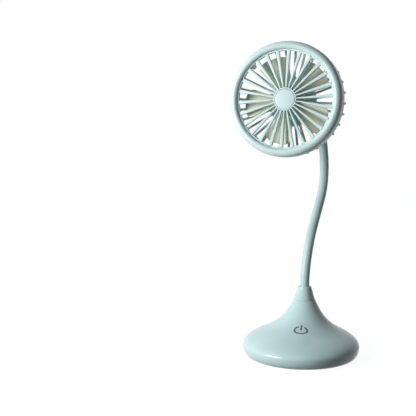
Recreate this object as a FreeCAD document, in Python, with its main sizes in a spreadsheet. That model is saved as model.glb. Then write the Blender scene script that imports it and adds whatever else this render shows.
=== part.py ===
import FreeCAD, Part
import math
import os
import re

import Sketcher
from FreeCAD import Placement, Rotation, Vector

# A rechargeable desk fan. The origin lies on the table under the middle of the base's round
# outline, +Z is up and the base's front faces -Y. Lengths are millimetres, angles degrees.
# In the head, x runs to the right, y up and z out of the front, counted from the plane of the
# spokes' middle, so that a depth is a distance behind that plane.

SIZES = {
    # where the head's middle stands, how far it is turned to the left and tilted back
    "head_x": -19.5,
    "head_y": -2.4,
    "head_z": 262.1,
    "head_turn": 3.2,
    "head_tilt": 6.57,
    # front grille: rim, spokes and middle
    "rim_outer_r": 58.1,
    "rim_wall": 1.8,
    "rim_side_depth": 3.2,
    "rim_round": 6.4,
    "rim_back_depth": 2.0,
    "crest_back_inset": 0.54,
    "crest_back_drop": 2.1,
    "seam_depth": 8.0,
    "crest_inset": 4.9,
    "crest_height": 3.0,
    "slope_width": 3.2,
    "ledge_width": 1.5,
    "lip_depth": 0.6,
    "lip_width": 2.1,
    "tongue_wall": 1.2,
    "tongue_length": 2.5,
    "tongue_gap": 0.2,
    "spoke_back": 4.5,
    "spoke_count": 26,
    "spoke_phase": 4.66,
    "spoke_hub_width": 1.1,
    "spoke_rim_width": 3.5,
    "spoke_root": 0.8,
    "hub_wall": 1.25,
    "hub_front_depth": 0.3,
    "hub_floor": 1.4,
    "cap_r": 10.2,
    "cap_gap": 0.15,
    "cap_front_depth": 0.1,
    "cap_edge_round": 0.8,
    # screws that hold the grille to the housing
    "grille_post_inset": 5.7,
    "grille_post_r": 2.4,
    "grille_post_top_depth": 1.0,
    "grille_screw_phase": 48.7,
    "grille_screw_r": 1.0,
    "grille_screw_head_r": 1.9,
    "grille_screw_head": 1.4,
    "grille_screw_reach": 5.0,
    "housing_post_r": 2.9,
    "housing_post": 8.2,
    "post_gap": 0.2,
    "screw_gap": 0.05,
    "pilot_extra": 1.0,
    # rear housing: band, ribs and the seat of the motor
    "band_wall": 1.8,
    "band_swell": 0.1,
    "band_swell_depth": 9.5,
    "band_end_inset": 2.0,
    "band_end_depth": 21.0,
    "band_round": 60.0,
    "rib_count": 32,
    "rib_phase": -24.4,
    "rib_width": 2.4,
    "rib_thickness": 2.2,
    "rib_root_rise": 2.0,
    "rib_bulge_inset": 1.0,
    "rib_bulge_drop": 3.2,
    "rib_round": 5.5,
    "rib_shoulder_inset": 4.6,
    "rib_dome_rise": 2.9,
    "rib_dome_round": 120.0,
    "rib_lap": 1.0,
    "rib_root_inset": 0.1,
    "rib_corner_inset": 1.3,
    "rib_corner_rise": 2.0,
    "rib_bulge_rise": 0.2,
    "rib_inner_round": 4.5,
    "flange_width": 10.0,
    "flange_thickness": 2.2,
    "boss_gap": 1.7,
    "boss_wall": 1.8,
    "boss_length": 17.3,
    # rear cap and its screws
    "rear_plate_inset": 2.5,
    "rear_plate": 2.0,
    "rear_plate_round": 1.0,
    "nozzle_r": 7.4,
    "nozzle_end_r": 6.2,
    "nozzle_length": 8.5,
    "cap_screw_out": 4.3,
    "cap_screw_phase": 90.0,
    "cap_screw_r": 0.9,
    "cap_screw_head_r": 1.7,
    "cap_screw_head": 1.1,
    "cap_post_r": 2.2,
    "cap_post_length": 3.8,
    "cap_screw_end": 1.0,
    # motor
    "can_r": 12.0,
    "can_wall": 0.8,
    "can_front": 1.0,
    "can_length": 8.6,
    "bell_thickness": 1.4,
    "nose_r": 3.0,
    "nose_length": 1.4,
    "nose_gap": 0.2,
    "bush_r": 1.9,
    "bush_length": 2.8,
    "rear_bush_length": 1.8,
    "shaft_r": 1.0,
    "shaft_gap": 0.05,
    "shaft_seat": 0.9,
    "magnet_gap": 0.1,
    "magnet_end_gap": 0.4,
    "shaft_end": 0.2,
    "magnet_wall": 2.3,
    "armature_gap": 0.7,
    "armature_end_gap": 0.6,
    "motor_screw_ring_r": 6.5,
    "motor_screw_r": 0.8,
    "motor_screw_head_r": 1.6,
    "motor_screw_head": 1.1,
    # blades
    "rotor_hub_r": 12.8,
    "rotor_hub_wall": 1.4,
    "rotor_gap": 1.4,
    "rotor_hub_length": 8.3,
    "rotor_boss_r": 2.6,
    "rotor_boss_length": 6.6,
    "rotor_edge_round": 1.0,
    "rotor_back_gap": 1.0,
    "blade_phase": 41.5,
    "blade_count": 5,
    "blade_lap": 0.8,
    "blade_tip_gap": 3.5,
    "blade_root_width": 9.0,
    "blade_tip_width": 36.0,
    "blade_root_pitch": 36.0,
    "blade_tip_pitch": 20.0,
    "blade_root_drop": 4.7,
    "blade_tip_drop": 2.9,
    "blade_thickness": 1.2,
    # neck: a wound metal tube in a silicone sleeve, its two wires and its end ferrules
    "core_r": 3.85,
    "core_bore": 2.2,
    "sleeve_r": 4.9,
    "sleeve_wall": 0.95,
    "wire_r": 0.65,
    "wire_spacing": 1.5,
    "bend_gap": 2.0,
    "sleeve_gap": 0.1,
    "first_bend": 35.7,
    "last_bend": 32.6,
    "neck_y": 17.0,
    "neck_foot_drop": 2.0,
    "neck_straight_rise": 29.5,
    "neck_head_run": 18.2,
    "neck_end_setback": 1.5,
    "fit_gap": 0.1,
    "sleeve_fit_gap": 0.2,
    "shoulder_r": 4.6,
    "shoulder": 1.2,
    "ferrule_socket": 4.0,
    "top_ferrule_reach": 2.6,
    "top_ferrule_tail": 11.5,
    "bottom_ferrule_low": 10.2,
    "bottom_ferrule_high": 15.0,
    "thread_gap": 0.02,
    "top_nut_flats": 11.0,
    "top_nut": 2.2,
    "bottom_nut_flats": 12.0,
    "bottom_nut": 4.0,
    "washer_r": 7.5,
    "washer": 1.2,
    # base shell: a bell whose round sections drift back towards the neck
    "base_r": 59.8,
    "widest_z": 10.1,
    "bell_ledge": 0.2,
    "bell_top_z": 54.0,
    "bell_share": 0.485,
    "bell_rim_power": 0.465,
    "bell_neck_power": 4.07,
    "foot_tuck": 5.3,
    "foot_gap": 0.8,
    "shell_side": 1.9,
    "shell_roof": 2.0,
    # collar at the neck's foot
    "collar_r": 10.9,
    "collar_height": 14.0,
    "collar_top_r": 7.05,
    "collar_round": 1.2,
    "collar_edge": 1.0,
    "collar_step": 3.0,
    # power mark and the touch pad under it
    "icon_x": 3.6,
    "icon_y": -19.1,
    "icon_z": 30.25,
    "icon_slope": 24.0,
    "icon_half_width": 7.4,
    "icon_half_height": 5.8,
    "icon_stroke": 1.8,
    "icon_opening": 5.4,
    "icon_bar_top": 6.4,
    "icon_bar_foot": 0.6,
    "icon_depth": 0.5,
    "icon_reach": 6.0,
    "touch_pad_r": 9.0,
    "touch_pad": 0.4,
    # underside
    "cover_gap": 0.3,
    "cover_top_z": 3.0,
    "pad_inset": 10.3,
    "pad_thickness": 1.6,
    "pad_gap": 0.2,
    "cover_screw_inset": 19.8,
    "cover_screw_phase": 45.0,
    "cover_screw_r": 1.25,
    "cover_screw_clearance": 0.15,
    "cover_screw_head_r": 2.3,
    "cover_screw_head_low": 1.7,
    "cover_screw_head": 2.0,
    "cover_screw_length": 11.0,
    "cover_boss_r": 4.0,
    "cover_boss_z": 5.5,
    "head_gap": 0.3,
    "shell_post_r": 3.5,
    "weight_inset": 6.0,
    "weight": 2.5,
    # battery and its cradle
    "cell_r": 9.2,
    "cell_length": 65.0,
    "cell_y": 5.0,
    "cell_nub_r": 3.0,
    "cell_nub": 1.0,
    "cradle_floor": 0.85,
    "cradle_gap": 0.15,
    "cradle_end": 1.7,
    "cradle_width": 21.0,
    "cradle_height": 7.2,
    # circuit board, its parts, the charging socket and the charge light
    "board_x": 15.0,
    "board_inset": 25.3,
    "board_length": 18.5,
    "board_z": 8.0,
    "board": 1.6,
    "board_post_x": 12.0,
    "board_post_back": 9.5,
    "board_post_r": 2.2,
    "board_screw_r": 0.8,
    "board_screw_head_r": 1.7,
    "board_screw_head": 1.0,
    "board_screw_length": 5.5,
    "board_hole_gap": 0.3,
    "chip_width": 7.0,
    "chip_length": 6.0,
    "chip": 1.4,
    "chip_x": -4.0,
    "chip_back": 5.5,
    "plug_width": 6.0,
    "plug_length": 4.0,
    "plug_height": 3.4,
    "plug_x": -13.0,
    "plug_back": 1.5,
    "lamp_side": 3.0,
    "lamp_gap": 0.1,
    "lamp_height": 2.6,
    "capacitor_r": 2.0,
    "capacitor_height": 4.0,
    "capacitor_x": -9.0,
    "capacitor_back": 13.5,
    "socket_width": 9.0,
    "socket_height": 3.2,
    "socket_length": 7.3,
    "socket_overhang": 5.1,
    "socket_wall": 0.5,
    "socket_tongue": 0.8,
    "socket_tongue_inset": 1.25,
    "socket_tongue_short": 1.0,
    "socket_hole_gap": 0.3,
    "socket_hole_run": 4.0,
    "light_x": 10.5,
    "light_rise": 1.6,
    "light_r": 1.2,
    "light_set_back": 16.5,
    "light_length": 7.5,
    "light_gap": 0.1,
    "light_hole_length": 20.0,
    "lead_r": 0.7,
    "touch_lead_r": 0.5,
    "wire_entry": 3.8,
}

# Sizes that follow from others, so that what belongs together keeps together
TIED_SIZES = {
    "crest_r": "rim_outer_r - crest_inset",
    "slope_foot_r": "crest_r - slope_width",
    "opening_r": "slope_foot_r - ledge_width",
    "hub_r": "cap_r + cap_gap + hub_wall",
    "grille_post_ring_r": "rim_outer_r - grille_post_inset",
    "band_swell_r": "rim_outer_r + band_swell",
    "band_end_r": "rim_outer_r - band_end_inset",
    "rotor_front_depth": "spoke_back + rotor_gap",
    "rotor_back_depth": "rotor_front_depth + rotor_hub_length",
    "rotor_boss_depth": "rotor_front_depth + rotor_boss_length",
    "shaft_front_depth": "rotor_front_depth + shaft_seat",
    "blade_root_r": "rotor_hub_r - blade_lap",
    "blade_tip_r": "opening_r - blade_tip_gap",
    "blade_root_depth": "rotor_front_depth + blade_root_drop",
    "blade_tip_depth": "blade_root_depth + blade_tip_drop",
    "boss_r": "can_r + boss_gap + boss_wall",
    "boss_front_depth": "rotor_back_depth + rotor_back_gap",
    "boss_back_depth": "boss_front_depth + boss_length",
    "flange_r": "boss_r + flange_width",
    "rib_root_depth": "band_end_depth - rib_root_rise",
    "rib_bulge_r": "rim_outer_r - rib_bulge_inset",
    "rib_bulge_depth": "band_end_depth + rib_bulge_drop",
    "rib_shoulder_r": "rib_bulge_r - rib_shoulder_inset",
    "rib_shoulder_depth": "boss_back_depth - rib_dome_rise",
    "post_seam_depth": "seam_depth + tongue_length + post_gap/2",
    "housing_post_end_depth": "post_seam_depth + post_gap + housing_post",
    "rear_plate_r": "flange_r - rear_plate_inset",
    "cap_back_depth": "boss_back_depth + rear_plate",
    "cap_step_depth": "boss_back_depth + ferrule_socket",
    "nozzle_end_depth": "cap_back_depth + nozzle_length",
    "cap_screw_ring_r": "boss_r + cap_screw_out",
    "neck_end_depth": "cap_back_depth + neck_end_setback",
    "top_ferrule_front_depth": "boss_back_depth - top_ferrule_reach",
    "top_ferrule_back_depth": "boss_back_depth + top_ferrule_tail",
    "bell_top_r": "collar_r + bell_ledge",
    "foot_r": "base_r - foot_tuck*(1 - cos(asin(1 - foot_gap/widest_z)))",
    "pad_r": "foot_r - shell_side - cover_gap - pad_inset",
    "cover_screw_ring_r": "base_r - cover_screw_inset",
    "weight_r": "cover_screw_ring_r - weight_inset",
    "board_front_y": "base_r - board_inset",
    "board_post_y": "board_front_y + board_post_back",
    "board_top": "board_z + board",
    "chip_y": "board_front_y + chip_back",
    "plug_y": "board_front_y + plug_back",
    "capacitor_y": "board_front_y + capacitor_back",
    "socket_mouth_y": "board_front_y + board_length + socket_overhang",
    "light_back_y": "board_front_y + light_set_back",
}

document = FreeCAD.newDocument("MiniFan")
sheet = document.addObject("Spreadsheet::Sheet", "Sizes")
ALL_SIZES = {**SIZES, **{alias: "=" + text for alias, text in TIED_SIZES.items()}}
for row, (alias, entry) in enumerate(ALL_SIZES.items(), start=1):
    sheet.set("A%d" % row, alias)
    sheet.set("B%d" % row, str(entry))
    sheet.setAlias("B%d" % row, alias)
document.recompute()

sub_parts = []


def in_sheet(word):
    return "Sizes." + word.group() if word.group() in ALL_SIZES else word.group()


def bound(text):
    """The expression with every size's name led back to the sheet."""
    return re.sub(r"[a-z]\w*", in_sheet, text)


def size(text):
    """The number that an expression of sizes comes to."""
    return float(sheet.evalExpression(bound(text)))


def bind(thing, path, text):
    thing.setExpression(path, bound(text))


def sub_part(thing, name):
    """Marks an object as a finished piece that is written to its own file."""
    thing.Label = name
    sub_parts.append(thing)
    return thing


def new_body(name):
    return sub_part(document.addObject("PartDesign::Body", name), name)


HEAD_PLACE = (
    "create(<<placement>>; create(<<vector>>; head_x; head_y; head_z); "
    "create(<<rotation>>; -head_turn; 0; 90 - head_tilt))"
)


def put_in_head(thing, turn="0"):
    """Stands a piece that was drawn in the head's own directions where the head is."""
    spin = "create(<<placement>>; create(<<vector>>; 0; 0; 0); create(<<rotation>>; %s; 0; 0))" % turn
    bind(thing, "Placement", HEAD_PLACE + " * " + spin)
    return thing


def put_on_neck_axis(thing):
    """Stands a round piece on the upright line of the neck's foot."""
    bind(thing, ".Placement.Base.y", "neck_y")
    return thing


def new_sketch(body, name, plane="XY_Plane", height="0", turn="0", shift_y="0"):
    sketch = body.newObject("Sketcher::SketchObject", name)
    support = [feature for feature in body.Origin.OriginFeatures if feature.Role == plane][0]
    sketch.AttachmentSupport = [(support, "")]
    sketch.MapMode = "FlatFace"
    sketch.AttachmentOffset = Placement(Vector(0, 0, 0), Rotation(Vector(0, 0, 1), size(turn)))
    bind(sketch, ".AttachmentOffset.Rotation.Angle", turn)
    bind(sketch, ".AttachmentOffset.Base.y", shift_y)
    bind(sketch, ".AttachmentOffset.Base.z", height)
    return sketch


def fix_point(sketch, geometry, end, x_text, y_text):
    """Dimensions one point of a sketch from its origin, across and up."""
    for kind, text, axis in (("DistanceX", x_text, -2), ("DistanceY", y_text, -1)):
        value = size(text)
        if abs(value) < 1e-9:
            sketch.addConstraint(Sketcher.Constraint("PointOnObject", geometry, end, axis))
        elif value > 0:
            number = sketch.addConstraint(Sketcher.Constraint(kind, -1, 1, geometry, end, value))
            bind(sketch, "Constraints[%d]" % number, text)
        else:
            number = sketch.addConstraint(Sketcher.Constraint(kind, geometry, end, -1, 1, -value))
            bind(sketch, "Constraints[%d]" % number, "-(%s)" % text)


def draw_outline(sketch, points, arcs=None):
    """Closed outline, counterclockwise. arcs gives the radius of a side, below 0 where it is hollow."""
    arcs = arcs or {}
    places = [Vector(size(x), size(y), 0) for x, y in points]
    sides = []
    for index, start in enumerate(places):
        end = places[(index + 1) % len(places)]
        if index not in arcs:
            sides.append((sketch.addGeometry(Part.LineSegment(start, end), False), 1, 2))
            continue
        radius = size(arcs[index])
        chord = end - start
        rise = math.sqrt(max(radius * radius - chord.Length ** 2 / 4, 0))
        left = Vector(-chord.y, chord.x, 0).normalize()
        middle = (start + end) / 2 + left * math.copysign(rise, radius)
        first, last = (start, end) if radius > 0 else (end, start)
        from_angle = math.atan2(first.y - middle.y, first.x - middle.x)
        to_angle = math.atan2(last.y - middle.y, last.x - middle.x)
        circle = Part.Circle(middle, Vector(0, 0, 1), abs(radius))
        side = sketch.addGeometry(Part.ArcOfCircle(circle, from_angle, to_angle), False)
        sides.append((side, 1, 2) if radius > 0 else (side, 2, 1))
    for index, (side, start_end, far_end) in enumerate(sides):
        previous, _, previous_end = sides[index - 1]
        sketch.addConstraint(Sketcher.Constraint("Coincident", previous, previous_end, side, start_end))
        fix_point(sketch, side, start_end, *points[index])
    for index, text in arcs.items():
        number = sketch.addConstraint(Sketcher.Constraint("Radius", sides[index][0], abs(size(text))))
        bind(sketch, "Constraints[%d]" % number, "abs(%s)" % text)
    return sketch


def draw_circle(sketch, radius, x="0", y="0"):
    circle = Part.Circle(Vector(size(x), size(y), 0), Vector(0, 0, 1), size(radius))
    geometry = sketch.addGeometry(circle, False)
    fix_point(sketch, geometry, 3, x, y)
    number = sketch.addConstraint(Sketcher.Constraint("Radius", geometry, size(radius)))
    bind(sketch, "Constraints[%d]" % number, radius)
    return sketch


def around(ring_radius, phase, count):
    """Places of a ring of screws or posts, as expressions of the sizes."""
    angles = ["%s + %g" % (phase, 360 / count * index) for index in range(count)]
    return [("%s*cos(%s)" % (ring_radius, angle), "%s*sin(%s)" % (ring_radius, angle)) for angle in angles]


def draw_ring_of_circles(sketch, radius, places):
    for x, y in places:
        draw_circle(sketch, radius, x, y)
    return sketch


def revolve(body, name, points, arcs=None):
    """Solid of revolution about the body's z from an outline of radius and height."""
    feature_sketch = draw_outline(new_sketch(body, name + "_outline", "XZ_Plane"), points, arcs)
    feature = body.newObject("PartDesign::Revolution", name)
    feature.Profile = feature_sketch
    feature.ReferenceAxis = (feature_sketch, ["V_Axis"])
    feature.Angle = 360
    return feature


def pad(body, name, sketch, length, both_ways=False):
    feature = body.newObject("PartDesign::Pad", name)
    feature.Profile = sketch
    bind(feature, "Length", length)
    if both_ways:
        feature.SideType = "Symmetric"
    return feature


def pocket(body, name, sketch, length):
    """Cut that runs from its sketch the same way as a pad, and has to take something away."""
    document.recompute()
    before = body.Shape.Volume
    feature = body.newObject("PartDesign::Pocket", name)
    feature.Profile = sketch
    feature.Reversed = True
    bind(feature, "Length", length)
    document.recompute()
    if not body.Shape.Volume < before:
        raise RuntimeError("%s cuts nothing" % name)
    return feature


def repeat_around(body, name, feature, count):
    """Copies of a feature about the body's z."""
    pattern = body.newObject("PartDesign::PolarPattern", name)
    pattern.Originals = [feature]
    axis = [origin_part for origin_part in body.Origin.OriginFeatures if origin_part.Role == "Z_Axis"][0]
    pattern.Axis = (axis, [""])
    pattern.Angle = 360
    bind(pattern, "Occurrences", count)
    body.Tip = pattern
    return pattern


def put(thing, x, y, z):
    for letter, text in (("x", x), ("y", y), ("z", z)):
        bind(thing, ".Placement.Base." + letter, text)
    return thing


def cylinder(name, radius, height, x="0", y="0", z="0", along=Vector(0, 0, 1)):
    thing = document.addObject("Part::Cylinder", name)
    bind(thing, "Radius", radius)
    bind(thing, "Height", height)
    thing.Placement = Placement(Vector(0, 0, 0), Rotation(Vector(0, 0, 1), along))
    return put(thing, x, y, z)


def box(name, length, width, height, x, y, z):
    """Block with its lowest corner at x, y, z."""
    thing = document.addObject("Part::Box", name)
    for path, text in (("Length", length), ("Width", width), ("Height", height)):
        bind(thing, path, text)
    return put(thing, x, y, z)


def fuse(name, *pieces):
    thing = document.addObject("Part::MultiFuse", name)
    thing.Shapes = list(pieces)
    thing.Refine = True
    return thing


def cut(name, base, tool):
    thing = document.addObject("Part::Cut", name)
    thing.Base = base
    thing.Tool = tool
    return thing


def common(name, base, tool):
    thing = document.addObject("Part::Common", name)
    thing.Base = base
    thing.Tool = tool
    return thing


def group(name, pieces):
    thing = document.addObject("Part::Compound", name)
    thing.Links = list(pieces)
    return sub_part(thing, name)


def screw_group(name, places, shank_r, head_r, head, head_z, tip_z):
    """Like screws side by side. Each head starts at head_z and the shank runs on to tip_z."""
    up = size(tip_z) > size(head_z)
    screws = []
    for index, (x, y) in enumerate(places):
        label = "%s_%d" % (name, index + 1)
        low_shank, high_shank = (head_z, tip_z) if up else (tip_z, head_z)
        low_head = "%s - (%s)" % (head_z, head) if up else head_z
        length = "(%s) - (%s)" % (high_shank, low_shank)
        shank = cylinder(label + "_shank", shank_r, length, x, y, low_shank)
        screws.append(fuse(label, shank, cylinder(label + "_head", head_r, head, x, y, low_head)))
    return group(name, screws)


# Front grille: one moulding of rim, straight tapering spokes and the middle that takes the cap

GRILLE_SCREWS = around("grille_post_ring_r", "grille_screw_phase", 4)

front_grille = put_in_head(new_body("front_grille"))
rim_inside = "rim_outer_r - rim_wall"
tongue_r = "band_swell_r - band_wall - tongue_gap"
tongue_inside = "%s - tongue_wall" % tongue_r
revolve(
    front_grille,
    "rim",
    [
        ("rim_outer_r", "-seam_depth"),
        ("rim_outer_r", "-rim_side_depth"),
        ("crest_r", "crest_height"),
        ("slope_foot_r", "-lip_depth"),
        ("opening_r", "-lip_depth"),
        ("opening_r", "-spoke_back"),
        ("opening_r + lip_width", "-spoke_back"),
        ("opening_r + lip_width", "-lip_depth - rim_back_depth"),
        ("crest_r + crest_back_inset", "crest_height - crest_back_drop"),
        (rim_inside, "-rim_side_depth"),
        (rim_inside, "-rim_side_depth - rim_wall"),
        (tongue_inside, "-rim_side_depth - 2*rim_wall"),
        (tongue_inside, "-seam_depth - tongue_length"),
        (tongue_r, "-seam_depth - tongue_length"),
        (tongue_r, "-seam_depth"),
    ],
    {1: "rim_round", 8: "rim_wall - rim_round"},
)
spoke_sketch = new_sketch(front_grille, "spoke_outline", height="-spoke_back", turn="spoke_phase")
draw_outline(
    spoke_sketch,
    [
        ("hub_r - spoke_root", "-spoke_hub_width/2"),
        ("opening_r + lip_width/2", "-spoke_rim_width/2"),
        ("opening_r + lip_width/2", "spoke_rim_width/2"),
        ("hub_r - spoke_root", "spoke_hub_width/2"),
    ],
)
spoke = pad(front_grille, "spoke", spoke_sketch, "spoke_back - lip_depth")
repeat_around(front_grille, "spokes", spoke, "spoke_count")
cap_seat_r = "cap_r + cap_gap"
revolve(
    front_grille,
    "middle",
    [
        ("0", "-spoke_back"),
        ("hub_r", "-spoke_back"),
        ("hub_r", "-hub_front_depth"),
        (cap_seat_r, "-hub_front_depth"),
        (cap_seat_r, "hub_floor - spoke_back"),
        ("0", "hub_floor - spoke_back"),
    ],
)
grille_posts = new_sketch(front_grille, "post_outline", height="-post_seam_depth")
draw_ring_of_circles(grille_posts, "grille_post_r", GRILLE_SCREWS)
pad(front_grille, "posts", grille_posts, "post_seam_depth - grille_post_top_depth")
pilot_holes = new_sketch(front_grille, "pilot_outline", height="-post_seam_depth")
draw_ring_of_circles(pilot_holes, "grille_screw_r + screw_gap", GRILLE_SCREWS)
pocket(front_grille, "pilot_holes", pilot_holes, "post_seam_depth - grille_screw_reach + pilot_extra")

# Hub cap: plain disc pressed into the middle of the grille

hub_cap = put_in_head(new_body("hub_cap"))
revolve(
    hub_cap,
    "disc",
    [
        ("0", "hub_floor - spoke_back"),
        ("cap_r", "hub_floor - spoke_back"),
        ("cap_r", "-cap_front_depth - cap_edge_round"),
        ("cap_r - cap_edge_round", "-cap_front_depth"),
        ("0", "-cap_front_depth"),
    ],
    {2: "cap_edge_round"},
)

# Rear housing: side band, ribs that bulge past it and dome in, flange and the motor's boss

CAP_SCREWS = around("cap_screw_ring_r", "cap_screw_phase", 3)
MOTOR_SCREWS = around("motor_screw_ring_r", "0", 2)

rear_housing = put_in_head(new_body("rear_housing"))
revolve(
    rear_housing,
    "band",
    [
        ("band_end_r", "-band_end_depth"),
        ("band_swell_r", "-band_swell_depth"),
        ("rim_outer_r", "-seam_depth"),
        ("rim_outer_r - band_wall", "-seam_depth"),
        ("band_swell_r - band_wall", "-band_swell_depth"),
        ("band_end_r - band_wall", "-band_end_depth"),
    ],
    {0: "band_round", 4: "band_wall - band_round"},
)
rib_sketch = draw_outline(
    new_sketch(rear_housing, "rib_outline", "XZ_Plane"),
    [
        ("flange_r - rib_lap", "-boss_back_depth"),
        ("rib_shoulder_r", "-rib_shoulder_depth"),
        ("rib_bulge_r", "-rib_bulge_depth"),
        ("band_end_r - rib_root_inset", "-rib_root_depth"),
        ("rib_bulge_r - rib_thickness", "-rib_root_depth"),
        ("rib_bulge_r - rib_thickness", "rib_bulge_rise - rib_bulge_depth"),
        ("rib_shoulder_r - rib_corner_inset", "rib_corner_rise - rib_shoulder_depth"),
        ("flange_r - rib_lap", "rib_thickness - boss_back_depth"),
    ],
    {
        0: "rib_dome_round",
        1: "rib_round",
        5: "-rib_inner_round",
        6: "rib_thickness - rib_dome_round",
    },
)
rib = pad(rear_housing, "rib", rib_sketch, "rib_width", both_ways=True)
repeat_around(rear_housing, "ribs", rib, "rib_count")
revolve(
    rear_housing,
    "boss",
    [
        ("nose_r + nose_gap", "-boss_front_depth - boss_wall"),
        ("boss_r - boss_wall", "-boss_front_depth - boss_wall"),
        ("boss_r - boss_wall", "-boss_back_depth"),
        ("flange_r", "-boss_back_depth"),
        ("flange_r", "flange_thickness - boss_back_depth"),
        ("boss_r", "flange_thickness - boss_back_depth"),
        ("boss_r", "-boss_front_depth"),
        ("nose_r + nose_gap", "-boss_front_depth"),
    ],
)
HOUSING_SCREWS = around("grille_post_ring_r", "grille_screw_phase - rib_phase", 4)
post_sketch = new_sketch(rear_housing, "post_outline", height="-housing_post_end_depth")
draw_ring_of_circles(post_sketch, "housing_post_r", HOUSING_SCREWS)
pad(rear_housing, "posts", post_sketch, "housing_post")
cap_post_sketch = new_sketch(rear_housing, "cap_post_outline", height="flange_thickness - boss_back_depth")
HOUSING_CAP_SCREWS = around("cap_screw_ring_r", "cap_screw_phase - rib_phase", 3)
draw_ring_of_circles(cap_post_sketch, "cap_post_r", HOUSING_CAP_SCREWS)
pad(rear_housing, "cap_posts", cap_post_sketch, "cap_post_length")
holes = draw_ring_of_circles(
    new_sketch(rear_housing, "grille_hole_outline", height="-housing_post_end_depth"),
    "grille_screw_r + screw_gap",
    HOUSING_SCREWS,
)
pocket(rear_housing, "grille_holes", holes, "housing_post")
holes = draw_ring_of_circles(
    new_sketch(rear_housing, "cap_hole_outline", height="-boss_back_depth"),
    "cap_screw_r + screw_gap",
    HOUSING_CAP_SCREWS,
)
pocket(rear_housing, "cap_holes", holes, "flange_thickness + cap_post_length")
holes = draw_ring_of_circles(
    new_sketch(rear_housing, "motor_hole_outline", height="-boss_front_depth - boss_wall"),
    "motor_screw_r + screw_gap",
    around("motor_screw_ring_r", "-rib_phase", 2),
)
pocket(rear_housing, "motor_holes", holes, "boss_wall")
put_in_head(rear_housing, "rib_phase")

put_in_head(
    screw_group(
        "grille_screws",
        GRILLE_SCREWS,
        "grille_screw_r",
        "grille_screw_head_r",
        "grille_screw_head",
        "-housing_post_end_depth",
        "-grille_screw_reach",
    )
)

# Rear cap: plate behind the motor with the nozzle that the neck enters

rear_cap = put_in_head(new_body("rear_cap"))
revolve(
    rear_cap,
    "plate_and_nozzle",
    [
        ("core_r + fit_gap", "-cap_step_depth"),
        ("sleeve_r + sleeve_fit_gap", "-cap_step_depth"),
        ("sleeve_r + sleeve_fit_gap", "-nozzle_end_depth"),
        ("nozzle_end_r", "-nozzle_end_depth"),
        ("nozzle_r", "-cap_back_depth"),
        ("rear_plate_r - rear_plate_round", "-cap_back_depth"),
        ("rear_plate_r", "rear_plate_round - cap_back_depth"),
        ("rear_plate_r", "-boss_back_depth"),
        ("core_r + fit_gap", "-boss_back_depth"),
    ],
    {5: "rear_plate_round"},
)
holes = draw_ring_of_circles(
    new_sketch(rear_cap, "hole_outline", height="-cap_back_depth"),
    "cap_screw_r + screw_gap",
    CAP_SCREWS,
)
pocket(rear_cap, "screw_holes", holes, "rear_plate")
put_in_head(
    screw_group(
        "cap_screws",
        CAP_SCREWS,
        "cap_screw_r",
        "cap_screw_head_r",
        "cap_screw_head",
        "-cap_back_depth",
        "flange_thickness + cap_post_length - cap_screw_end - boss_back_depth",
    )
)

# Motor: can with its bearing nose, end bell, bushes, magnets, armature, shaft and two screws

can_front = "boss_front_depth + boss_wall"
can_back = "(%s) + can_length" % can_front
bell_back = "(%s) + bell_thickness" % can_back
nose_front = "(%s) - nose_length" % can_front
motor_can = put_in_head(new_body("motor_can"))
revolve(
    motor_can,
    "can",
    [
        ("bush_r", "-(%s) - can_front" % can_front),
        ("can_r - can_wall", "-(%s) - can_front" % can_front),
        ("can_r - can_wall", "-(%s)" % can_back),
        ("can_r", "-(%s)" % can_back),
        ("can_r", "-(%s)" % can_front),
        ("nose_r", "-(%s)" % can_front),
        ("nose_r", "-(%s)" % nose_front),
        ("bush_r", "-(%s)" % nose_front),
    ],
)
holes = draw_ring_of_circles(
    new_sketch(motor_can, "screw_hole_outline", height="-(%s) - can_front" % can_front),
    "motor_screw_r + screw_gap",
    MOTOR_SCREWS,
)
pocket(motor_can, "screw_holes", holes, "can_front")

motor_end_bell = put_in_head(new_body("motor_end_bell"))
revolve(
    motor_end_bell,
    "disc",
    [
        ("bush_r", "-(%s)" % bell_back),
        ("can_r", "-(%s)" % bell_back),
        ("can_r", "-(%s)" % can_back),
        ("bush_r", "-(%s)" % can_back),
    ],
)

bush_bore = "shaft_r + shaft_gap"
bushes = []
for label, back, length in (
    ("front_bush", "(%s) + bush_length" % nose_front, "bush_length"),
    ("back_bush", bell_back, "rear_bush_length"),
):
    sleeve = cylinder(label + "_outside", "bush_r", length, z="-(%s)" % back)
    bore = cylinder(label + "_bore", bush_bore, length, z="-(%s)" % back)
    bushes.append(cut(label, sleeve, bore))
put_in_head(group("motor_bushes", bushes))

magnet_front = "(%s) + can_front + magnet_end_gap" % can_front
magnet_outside = "can_r - can_wall - magnet_gap"
magnet_length = "can_length - can_front - 2*magnet_end_gap"
magnet_low = "-(%s) - (%s)" % (magnet_front, magnet_length)
magnet_ring = cut(
    "motor_magnets",
    cylinder("magnet_outside", magnet_outside, magnet_length, z=magnet_low),
    cylinder("magnet_inside", "%s - magnet_wall" % magnet_outside, magnet_length, z=magnet_low),
)
put_in_head(sub_part(magnet_ring, "motor_magnets"))

armature_length = "(%s) - 2*armature_end_gap" % magnet_length
armature_low = "%s + armature_end_gap" % magnet_low
armature = cut(
    "motor_armature",
    cylinder(
        "armature_outside",
        "%s - magnet_wall - armature_gap" % magnet_outside,
        armature_length,
        z=armature_low,
    ),
    cylinder("armature_bore", "shaft_r", armature_length, z=armature_low),
)
put_in_head(sub_part(armature, "motor_armature"))

shaft_length = "(%s) - shaft_front_depth - shaft_end" % bell_back
motor_shaft = cylinder("motor_shaft", "shaft_r", shaft_length)
bind(
    motor_shaft,
    "Placement",
    HEAD_PLACE + " * create(<<placement>>; create(<<vector>>; 0; 0; -shaft_front_depth - (%s)); "
    "create(<<rotation>>; 0; 0; 0))" % shaft_length,
)
sub_part(motor_shaft, "motor_shaft")

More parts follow.
